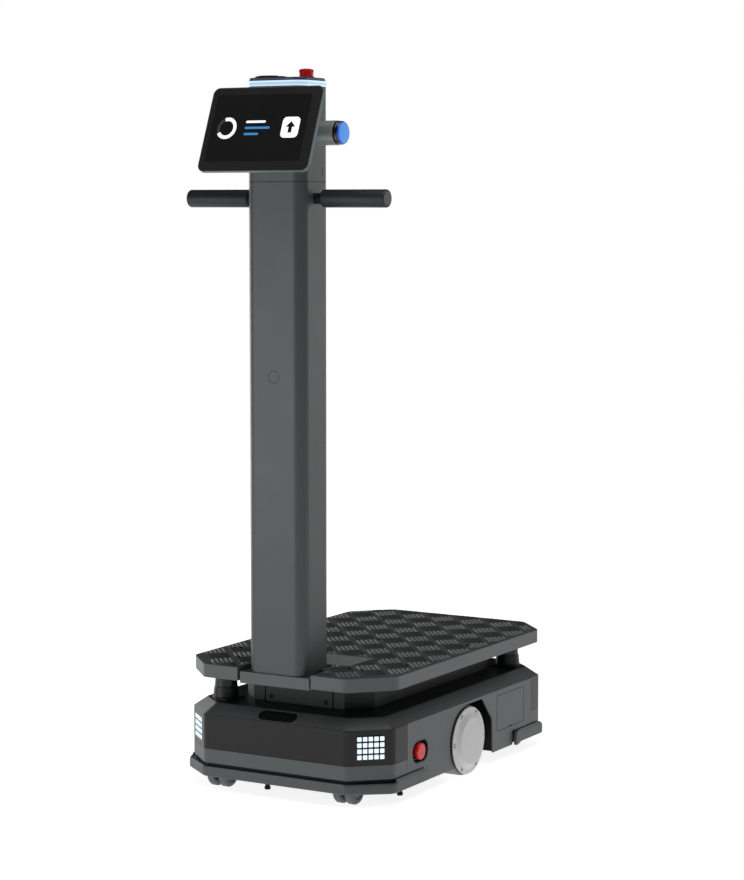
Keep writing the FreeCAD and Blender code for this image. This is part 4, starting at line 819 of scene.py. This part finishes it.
# ---- Load platform -------------------------------------------------------------------------------
@dataclass
class LoadMat:
    """Raised bars of the platform's mat, in millimetres.

    Squares of five bars stand on a lattice.  The bars of one square lean to the left front, and
    those of the square between four of them lean to the right front.  The first carry a painted
    highlight and the second painted shade, for how the lamps catch their sides.
    those of the square between four of them lean to the right front.
    """
    pitch_across: float = 75.2
    pitch_ahead: float = 85.1
    first_x: float = -3.0
    first_y: float = -11.0
    bars: int = 5
    bar_step: float = 9.8
    bar_length: float = 45.0
    bar_width: float = 5.4
    top_width: float = 2.6
    rise: float = 1.7
    border: float = 4.5
    cut_x: float = 75.0
    cut_y: float = 78.0
    foot_room: float = 5.0
    foot_ahead: float = 64.0
    column_room: tuple[float, float] = (2.0, 6.0)
    holes: tuple[tuple[float, float], ...] = ((120.0, 265.0), (120.0, 140.0), (120.0, -67.5),
                                              (120.0, -192.5))
    hole_r: float = 10.0
    hole_shade_gap: float = 2.0
    samples: int = 46
    fewest: int = 7

    def centres(self) -> tuple[Array, Array]:
        """Middle and direction of every bar before it is cut to the mat.

        Returns:
            Middles as (bars, 2) and unit directions as (bars, 2), about the base's middle.
        """
        i, j = np.meshgrid(np.arange(-4, 5), np.arange(-6, 7))
        corner = np.stack([self.first_x + i * self.pitch_across, self.first_y + j * self.pitch_ahead],
                          axis=-1).reshape(-1, 1, 2)
        step = ((np.arange(self.bars) - (self.bars - 1) / 2) * self.bar_step)[None, :, None]
        rising = np.array([self.pitch_across, self.pitch_ahead])
        rising /= np.linalg.norm(rising)
        falling = rising * [1, -1]
        first = corner + step * rising
        second = corner + [self.pitch_across / 2, self.pitch_ahead / 2] + step * falling
        middles = np.concatenate([first, second]).reshape(-1, 2)
        ways = np.repeat([falling, rising], len(middles) // 2, axis=0)
        return middles, ways

    def clear(self, spots: Array) -> Array:
        """Whether points lie on the mat, away from its edges, cut-outs and holes.

        Args:
            spots: points as (..., 2) about the base's middle, in millimetres.

        Returns:
            A true or false for each point.
        """
        low, high = span("platform_mat")
        half = (high - low)[:2] / 2 / MM - self.border
        x, y = np.abs(spots[..., 0]), spots[..., 1]
        kept = (x < half[0]) & (np.abs(y) < half[1])
        kept &= (x - half[0]) / self.cut_x + (np.abs(y) - half[1]) / self.cut_y < -0.98
        cover_low, cover_high = span("foot_cover")
        rear = (cover_low[1] - BASE_Y) / MM - self.border
        front = (cover_high[1] - BASE_Y) / MM + self.border
        kept &= ~((x < cover_high[0] / MM + self.border) & (y > rear) & (y < front))
        foot_high = span("column_foot")[1]
        column_low, column_high = span("column")
        beside, behind = self.column_room
        kept &= ~((x < foot_high[0] / MM + self.foot_room + self.border)
                  & (y < (column_low[1] - BASE_Y) / MM + self.foot_ahead))
        kept &= ~((x < column_high[0] / MM + self.border + beside)
                  & (y < (column_high[1] - BASE_Y) / MM + behind))
        for hole_x, hole_y in self.holes:
            kept &= np.hypot(x - hole_x, y - hole_y) > self.hole_r
        # keep the ridges clear of the painted hole shades
        for shade_x, shade_y, radius in MatHoleShades.spots:
            kept &= np.hypot(spots[..., 0] - shade_x, y - shade_y) > radius + self.hole_shade_gap
        return kept

    def build(self) -> None:
        """Cut each bar to its longest clear run and raise it as a rounded ridge."""
        middles, ways = self.centres()
        steps = np.linspace(-self.bar_length / 2, self.bar_length / 2, self.samples)
        spots = middles[:, None] + steps[None, :, None] * ways[:, None]
        kept = self.clear(spots)
        starts = np.zeros(kept.shape, dtype=int)
        for column in range(kept.shape[1]):
            before = starts[:, column - 1] if column else 0
            starts[:, column] = np.where(kept[:, column], before + 1, 0)
        last = starts.argmax(axis=1)
        length = starts.max(axis=1)
        whole = length > self.fewest
        end, count = steps[last][whole], length[whole]
        start = end - (count - 1) * (steps[1] - steps[0])
        middle_spot = middles[whole] + ((start + end) / 2)[:, None] * ways[whole]
        half = (end - start) / 2
        ways = ways[whole]
        across = np.stack([-ways[:, 1], ways[:, 0]], axis=1)
        top = span("platform_mat")[1][2] / MM
        rings = []
        for inset, height in ((0.0, -0.3), (0.0, 0.1), (0.9, self.rise - 0.35), (1.4, self.rise)):
            long_half = (half - inset)[:, None]
            wide_half = self.bar_width / 2 - inset * (self.bar_width - self.top_width) / 2.8
            corners = np.array([[1, 1], [-1, 1], [-1, -1], [1, -1]])
            flat = (middle_spot[:, None] + (corners[:, 0] * long_half)[..., None] * ways[:, None]
                    + (corners[:, 1] * wide_half)[None, :, None] * across[:, None])
            rings.append(np.concatenate([flat, np.full(flat.shape[:2] + (1,), top + height)], axis=2))
        grids = np.stack(rings, axis=1) * MM + BASE_Y * AHEAD
        # bars of the right-front squares get the painted shade, those of the left-front squares the painted
        # highlight
        in_painted_shade = ways[:, 1] > 0
        skin = Skin()
        skin.tubes(grids[~in_painted_shade], 0)
        skin.tubes(grids[in_painted_shade], 1)
        skin.piece("mat_ridges", BASE, "mat_rubber", Finishes.MAT_PAINTED_HIGHLIGHT, Finishes.MAT_PAINTED_SHADE, sharp=60.0)


@dataclass
class MatHoleShades:
    """Dark discs laid on the mat over its small holes, beside the load fixing holes: painted shade for the
    holes' dark insides, in millimetres.
    """
    spots: tuple[tuple[float, float, float], ...] = (
        (203.0, 58.0, 4.5), (-203.0, 58.0, 4.5), (203.0, -204.0, 4.5), (-203.0, -204.0, 4.5),
        (0.0, 32.0, 4.5), (118.0, -293.0, 4.0), (-118.0, -293.0, 4.0), (149.0, -297.0, 4.0),
        (-149.0, -297.0, 4.0))

    def build(self) -> None:
        """Turn one shallow black dish at each spot, the painted shade of a hole."""
        top = span("platform_mat")[1][2]
        skin = Skin()
        for x, y, radius in self.spots:
            centre = np.array([x * MM, BASE_Y + y * MM, top])
            skin.tube(lathe([(-1.0, radius), (1.2, radius), (1.5, radius - 0.5), (1.0, radius - 1.0),
                             (1.0, 0.1)], centre, UP, 24))
        skin.piece("mat_hole_shades", BASE, "steel", Finishes.SCREW)


# ---- Column --------------------------------------------------------------------------------------
@dataclass
class LightRing:
    """Lit band round the column's top: opal acrylic between two blue seams, in millimetres."""
    seam: float = 1.3
    core: float = 4.4
    corner_r: float = 25.6

    def build(self) -> None:
        """Build the band as layers of the column's own rounded outline."""
        low, high = span("light_ring")
        size = high - low
        tall = size[2] / MM
        origin = (low + high) / 2
        origin[2] = low[2]
        half_core = self.core / 2
        rows = [(0.0, 1.2), (0.0, 0.5), (self.seam, 0.4), (self.seam, 0.0), (tall / 2 - half_core, 0.0),
                (tall / 2 + half_core, 0.0), (tall - self.seam, 0.0), (tall - self.seam, 0.4), (tall, 0.5),
                (tall, 1.2)]
        skin = Skin()
        skin.tube(slab((size[0], size[1], self.corner_r * MM), rows, origin, ACROSS, AHEAD, 14),
                  [1, 1, 1, 0, 2, 0, 1, 1, 1])
        skin.piece("lit_ring", BASE, "ring_acrylic", Finishes.RING, Finishes.RING_EDGE,
                   Finishes.RING_CORE, stands_for=("light_ring",))


@dataclass
class HeadSlit:
    """Narrow upright slit in the head casing's left side, in millimetres."""
    behind_front: float = 78.0
    above_seam: float = 21.5
    length: float = 16.0
    width: float = 2.4

    def build(self) -> None:
        """Build the slit's dark lining as a thin rounded slab."""
        low, high = span("column")
        spot = np.array([high[0], low[1] + self.behind_front * MM, high[2] + self.above_seam * MM])
        skin = Skin()
        skin.tube(slab((self.width * MM, self.length * MM, self.width / 2 * MM * 0.98),
                       [(-0.5, 0.0), (0.05, 0.0), (0.12, 0.15)], spot, AHEAD, UP, 6))
        skin.piece("head_slit", BASE, "scanner_black", Finishes.SCREW)


@dataclass
class StartButton:
    """Collar with its trim rings, and the lit cap, in millimetres."""
    collar_r: float = 23.6
    cap_r: float = 21.8

    def build(self) -> None:
        """Turn the collar, which steps in twice towards the cap, and the cap with its flat face."""
        low, high = span("button_collar")
        centre = middle("button_collar")
        centre[0] = low[0]
        deep = (high[0] - low[0]) / MM
        r = self.collar_r
        collar = [(0.0, self.cap_r - 3), (0.0, r - 0.9), (1.6, r - 0.9), (2.0, r), (deep - 7.0, r),
                  (deep - 6.4, r - 0.5), (deep - 5.4, r - 0.5), (deep - 4.6, r - 0.2), (deep - 2.6, r - 0.2),
                  (deep - 2.0, r - 0.8), (deep - 1.7, r - 1.2), (deep - 1.7, self.cap_r + 0.3),
                  (4.0, self.cap_r + 0.3), (4.0, self.cap_r - 3)]
        turned(collar, centre, ACROSS, 80, "trimmed_collar", "button_black", Finishes.BLACK_ANODISED,
               Finishes.TRIM, marks=[0, 0, 0, 0, 1, 1, 0, 0, 1, 1, 0, 0, 0], stands_for=("button_collar",))
        face = (span("start_button")[1][0] - low[0]) / MM
        r = self.cap_r
        cap = [(8.0, 4.0), (8.0, r), (face - 1.4, r), (face - 0.7, r - 0.3), (face - 0.2, r - 0.9),
               (face, r - 1.8), (face, 0.4)]
        turned(cap, centre, ACROSS, 80, "lit_cap", "button_blue", Finishes.BLUE, Finishes.BLUE_SKIRT,
               body="start_button", marks=[1, 1, 1, 1, 0, 0], stands_for=("start_button",))


@dataclass
class Handles:
    """Grips with their shoulders and end caps, and the bar's tapered necks, in millimetres."""
    grip_r: float = 18.0
    grip_start: float = 85.5
    neck_r: float = 9.6
    shoulder_r: float = 15.2

    def build(self) -> None:
        """Turn both grips and both necks; each neck widens towards its grip."""
        low, high = span("handle_grips")
        axis_y, axis_z = (low[1] + high[1]) / 2, (low[2] + high[2]) / 2
        wall = span("column")[1][0]
        for side, sign in SIDES:
            start = self.grip_start * MM
            length = (high[0] - start) / MM
            centre = np.array([sign * start, axis_y, axis_z])
            r = self.grip_r
            profile = [(0.0, 9.5), (0.0, self.shoulder_r), (0.8, self.shoulder_r + 0.9), (3.0, r - 0.4),
                       (4.0, r), (length - 3.0, r), (length - 1.6, r - 0.3), (length - 0.5, r - 1.1),
                       (length - 0.2, r - 2.0), (length - 1.0, r - 2.6), (length - 1.0, r - 3.1),
                       (length - 0.1, r - 3.7), (length, r - 4.6), (length, 0.4)]
            turned(profile, centre, sign * ACROSS, 72, "grip_" + side, "grip_rubber", Finishes.GRIP,
                   Finishes.GRIP_END, marks=[0] * 10 + [1] * 3,
                   stands_for=("handle_grips",) if sign > 0 else ())
            seat = np.array([sign * wall, axis_y, axis_z])
            reach = (start - wall) / MM
            neck = [(-0.5, self.neck_r), (reach * 0.35, self.neck_r), (reach * 0.7, self.neck_r + 1.6),
                    (reach - 1.0, self.neck_r + 3.4), (reach, self.neck_r + 3.6)]
            turned(neck, seat, sign * ACROSS, 56, "bar_neck_" + side, "bar_steel", Finishes.BAR)


@dataclass
class Tablet:
    """Cover glass, display and the marks lit on it, in millimetres on the glass's face."""
    width: float = 254.8
    height: float = 176.8
    radius: float = 13.4
    thick: float = 1.4
    lean: float = 21.9
    display: tuple[float, float, float, float] = (-5.0, 2.0, 222.0, 142.0)
    gauge: tuple[float, float] = (-79.0, 2.0)
    gauge_share: float = 0.72
    lines: tuple[float, ...] = (46.0, 58.0, 34.0)
    lines_from: tuple[float, float] = (-36.0, 15.0)
    line_pitch: float = 13.0
    key: tuple[float, float] = (70.0, 2.0)

    def frame_axes(self) -> tuple[Array, Array, Array]:
        """Middle of the glass's face, and the directions across and up it."""
        tilt = math.radians(self.lean)
        up = np.array([0.0, math.sin(tilt), math.cos(tilt)])
        origin = middle("tablet_glass") + np.cross(ACROSS, up) * self.thick / 2 * MM
        return origin, ACROSS, up

    def mark(self, skin: Skin, centre: tuple[float, float], outline: Array, finish: int,
             hole: Array | None = None, level: float = 0.14) -> None:
        """Lay a thin lit shape on the display.

        Args:
            skin: surfaces of the marks.
            centre: middle of the shape.
            outline: closed loop of points about its middle.
            finish: finish number.
            hole: inner loop of the same number of points, or none for a full shape.
            level: height of the shape's face over the glass.
        """
        origin, right, up = self.frame_axes()
        outwards = np.cross(right, up)

        def lift(loop: Array, height: float) -> Array:
            """Carry a flat loop onto the glass at a height."""
            flat = (loop + centre) * MM
            return origin + flat[:, :1] * right + flat[:, 1:] * up + height * MM * outwards
        if hole is None:
            skin.tube(np.array([lift(outline, 0.04), lift(outline, level)]), finish)
        else:
            skin.ring(np.array([lift(hole, 0.04), lift(outline, 0.04), lift(outline, level),
                                lift(hole, level)]), finish)

    def build(self) -> None:
        """Build the glass with its printed border, the display under it, and the marks."""
        origin, right, up = self.frame_axes()
        skin = Skin()
        skin.tube(slab((self.width * MM, self.height * MM, self.radius * MM),
                       [(-self.thick, 0.3), (-0.3, 0.0), (-0.08, 0.08), (0.0, 0.3)], origin, right, up, 12))
        skin.piece("cover_glass", BASE, "tablet_glass", Finishes.GLASS, stands_for=("tablet_glass",))
        x, y, wide, tall = self.display
        skin = Skin()
        skin.tube(slab((wide * MM, tall * MM, 1.5 * MM), [(-0.2, 0.0), (0.03, 0.0)],
                       origin + x * MM * right + y * MM * up, right, up, 4))
        skin.piece("display", BASE, "tablet_glass", Finishes.DISPLAY)
        self.marks()

    def marks(self) -> None:
        """Lay a charge gauge, a list of three lines and a start key on the display."""
        full = np.linspace(0, FULL_TURN, 64, endpoint=False)[:, None]
        round_loop = np.hstack([np.cos(full), np.sin(full)])
        part = math.radians(110) + np.linspace(0, -self.gauge_share * FULL_TURN, 60)[:, None]
        arc = np.hstack([np.cos(part), np.sin(part)])
        skin = Skin()
        self.mark(skin, self.gauge, 22.5 * round_loop, 2, 16.0 * round_loop)
        self.mark(skin, self.gauge, np.vstack([22.9 * arc, 15.6 * arc[::-1]]), 0, level=0.3)
        left, top = self.lines_from
        for row, length in enumerate(self.lines):
            self.mark(skin, (left + length / 2, top - self.line_pitch * row),
                      rounded_loop(length, 4.8, 2.3, 8), 0 if row == 0 else 1)
        self.mark(skin, self.key, rounded_loop(40.0, 44.0, 9.0, 12), 0)
        skin.piece("display_marks", BASE, "tablet_glass", Finishes.LIT_MARK, Finishes.DIM_MARK,
                   Finishes.FAINT_MARK)
        corners = np.array([[0.0, 13.0], [-11.0, 1.0], [-4.2, 1.0], [-4.2, -11.5], [4.2, -11.5],
                            [4.2, 1.0], [11.0, 1.0]])
        origin, right, up = self.frame_axes()
        outwards = np.cross(right, up)
        flat = (corners + self.key) * MM
        loop = origin + flat[:, :1] * right + flat[:, 1:] * up
        arrow = Skin()
        arrow.tube(np.array([loop + 0.1 * MM * outwards, loop + 0.22 * MM * outwards]))
        arrow.piece("start_key_arrow", BASE, "tablet_glass", Finishes.DISPLAY)


# ---- The stage -----------------------------------------------------------------------------------
@dataclass
class Studio:
    """Camera, soft boxes and pale surroundings."""
    camera_place: tuple[float, float, float] = (2.6537, -4.5612, 1.2125)
    camera_tilt: float = 84.4594
    camera_pan: float = 30.1806
    lens: float = 100.98
    overhead: float = 0.01
    level: float = 0.02
    floor_half: float = 12.0
    floor_glow: float = 0.86
    glow_from: float = 0.7
    glow_to: float = 2.6
    bounce: float = 0.56

    def camera(self) -> None:
        """Stand the camera in front of the robot's left corner."""
        data = bpy.data.cameras.new("camera")
        data.lens = self.lens
        data.sensor_width = 36.0
        data.clip_end = 100.0
        seat = bpy.data.objects.new("camera", data)
        seat.location = np.array(self.camera_place) + BASE_Y * AHEAD
        seat.rotation_euler = (math.radians(self.camera_tilt), 0.0, math.radians(self.camera_pan))
        bpy.context.scene.collection.objects.link(seat)
        bpy.context.scene.camera = seat

    def soft_box(self, name: str, azimuth: float, height: float, distance: float,
                 size: tuple[float, float], power: float, aim: float = 0.7) -> None:
        """Hang one soft box that faces the robot.

        Args:
            name: name of the lamp.
            azimuth: degrees from the front towards the robot's own left.
            height: height of its middle in metres.
            distance: distance from the robot's upright axis in metres.
            size: width and height in metres.
            power: watts.
            aim: height on the robot's axis that it faces.
        """
        data = bpy.data.lights.new(name, "AREA")
        data.shape = "RECTANGLE"
        data.size, data.size_y = size
        data.energy = power
        lamp = bpy.data.objects.new(name, data)
        turn = math.radians(azimuth)
        lamp.location = (distance * math.sin(turn), -distance * math.cos(turn), height)
        lamp.rotation_euler = (math.radians(90.0) - math.atan2(height - aim, distance), 0.0, turn)
        bpy.context.scene.collection.objects.link(lamp)

    def surroundings(self) -> None:
        """Pale floor, and a world that is white to the camera and dim to the light."""
        world = bpy.data.worlds.new("studio")
        bpy.context.scene.world = world
        world.use_nodes = True
        tree = world.node_tree
        tree.nodes.clear()
        way = add_node(tree, "TexCoord").outputs["Generated"]
        rise = add_node(tree, "SeparateXYZ", {"Vector": way}).outputs["Z"]
        dim = add_node(tree, "MapRange", {"Value": rise, "From Min": 0.0, "From Max": 0.7,
                                          "To Min": self.level, "To Max": self.overhead})
        path = add_node(tree, "LightPath")
        seen = add_node(tree, "Math", {0: path.outputs["Is Camera Ray"],
                                       1: path.outputs["Is Transmission Ray"]}, operation="MAXIMUM")
        strength = add_node(tree, "Mix", {"Factor": seen.outputs["Value"], 2: dim.outputs["Result"],
                                          3: 1.0}, data_type="FLOAT")
        white = add_node(tree, "Background", {"Color": linear("FFFFFF"),
                                              "Strength": strength.outputs[0]})
        add_node(tree, "OutputWorld", {"Surface": white.outputs["Background"]})

        half = self.floor_half
        mesh = bpy.data.meshes.new("floor")
        mesh.from_pydata([(-half, -half, 0), (half, -half, 0), (half, half, 0), (-half, half, 0)], [],
                         [(0, 1, 2, 3)])
        floor = bpy.data.objects.new("floor", mesh)
        bpy.context.scene.collection.objects.link(floor)
        paper = bpy.data.materials.new("pale_paper_floor")
        paper.use_nodes = True
        tree = paper.node_tree
        tree.nodes.clear()
        path = add_node(tree, "LightPath")
        place = add_node(tree, "TexCoord").outputs["Object"]
        away = add_node(tree, "VectorMath", {"Vector": place}, operation="LENGTH")
        paper_white = add_node(tree, "MapRange", {"Value": away.outputs["Value"],
                                                  "From Min": self.glow_from, "From Max": self.glow_to,
                                                  "To Min": self.floor_glow, "To Max": 1.0})
        seen = add_node(tree, "Mix", {"Factor": path.outputs["Is Camera Ray"], 2: self.bounce,
                                      3: paper_white.outputs["Result"]}, data_type="FLOAT")
        glow = add_node(tree, "Emission", {"Color": linear("FFFFFF"), "Strength": seen.outputs[0]})
        matt = add_node(tree, "BsdfDiffuse", {"Color": linear("E4E4E4")})
        both = add_node(tree, "AddShader", {0: glow.outputs["Emission"], 1: matt.outputs["BSDF"]})
        add_node(tree, "OutputMaterial", {"Surface": both.outputs["Shader"]})
        floor.data.materials.append(paper)

    def build(self) -> None:
        """Set the stage."""
        bpy.context.scene.view_settings.view_transform = "Standard"
        self.camera()
        self.soft_box("front_right_box", -30.0, 0.7, 3.4, (2.6, 1.3), 18.0, 0.6)
        self.soft_box("rear_left_box", 150.0, 1.6, 4.6, (4.0, 2.6), 30.0)
        self.soft_box("right_rim_box", -105.0, 1.0, 3.4, (1.6, 2.0), 30.0, 0.6)
        self.soft_box("top_box", 60.0, 4.0, 1.0, (3.0, 3.0), 50.0, 0.6)
        self.surroundings()


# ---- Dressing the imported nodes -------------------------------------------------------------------
NODE_FINISHES: dict[Finish, tuple[str, ...]] = {
    Finishes.SHELL: ("front_shell", "rear_shell", "side_panel_left", "side_panel_right", "service_hatch"),
    Finishes.BAND: ("front_light_band",),
    Finishes.REAR_BAND: ("rear_light_band",),
    Finishes.GUIDE: ("light_guides",),
    Finishes.WINDOW: ("camera_window",),
    Finishes.CAMERA: ("depth_camera",),
    Finishes.DECK: ("deck_plate",),
    Finishes.TUB: ("pedestal", "tub_skirt"),
    Finishes.FRAME: ("chassis_frame",),
    Finishes.BATTERY: ("battery_pack",),
    Finishes.CONTROLLER: ("controller_box",),
    Finishes.STEEL: ("caster_plates", "drive_axle_brackets", "load_posts"),
    Finishes.TYRE: ("tyre_left", "tyre_right"),
    Finishes.HUB: ("hub_motor_left", "hub_motor_right"),
    Finishes.COVER: ("wheel_cover_left", "wheel_cover_right"),
    Finishes.CASTER: ("caster_fork_front_left", "caster_fork_front_right", "caster_fork_rear_left",
                      "caster_fork_rear_right"),
    Finishes.CASTER_TYRE: ("caster_wheels_front_left", "caster_wheels_front_right",
                           "caster_wheels_rear_left", "caster_wheels_rear_right"),
    Finishes.BUMPER: ("front_bumper", "rear_bumper"),
    Finishes.SCANNER: ("laser_scanners",),
    Finishes.TRAY: ("platform_tray", "column_foot"),
    Finishes.FOOT_COVER: ("foot_cover",),
    Finishes.MAT: ("platform_mat",),
    Finishes.COLUMN: ("column", "blind_plug"),
    Finishes.HEAD: ("head_casing", "tablet_bracket", "top_cap"),
    Finishes.HOUSING: ("button_housing",),
    Finishes.RING: ("light_ring",),
    Finishes.PUCK: ("sensor_puck",),
    Finishes.COLLAR: ("top_stop_collar",),
    Finishes.RED: ("top_stop_head", "side_stop_left", "side_stop_right"),
    Finishes.CUP: ("side_stop_cups",),
    Finishes.BLACK_ANODISED: ("button_collar",),
    Finishes.BLUE: ("start_button",),
    Finishes.BAR: ("handle_bar",),
    Finishes.GRIP: ("handle_grips",),
    Finishes.TABLET: ("tablet_back",),
    Finishes.GLASS: ("tablet_glass",),
    Finishes.SOCKET: ("charge_socket",),
}


def dress_nodes() -> None:
    """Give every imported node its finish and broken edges."""
    for finish, names in NODE_FINISHES.items():
        for name in names:
            piece = frame["nodes"][name]
            piece.data.materials.clear()
            piece.data.materials.append(finish.material())
            soften(piece)
            log.info("%s in %s", name, finish.name)


def main() -> None:
    """Build the robot's looks in order."""
    logging.basicConfig(level=logging.INFO, format="%(message)s")
    dress_nodes()
    CornerLights().build()
    Fasteners().build()
    Gaskets().build()
    Scanners().build()
    for side, sign in SIDES:
        SideStop(side, sign).build()
        DriveWheel(side, sign).build()
    LoadMat().build()
    MatHoleShades().build()
    LightRing().build()
    HeadSlit().build()
    StartButton().build()
    Handles().build()
    Tablet().build()
    Studio().build()


if __name__ == "__main__":
    main()
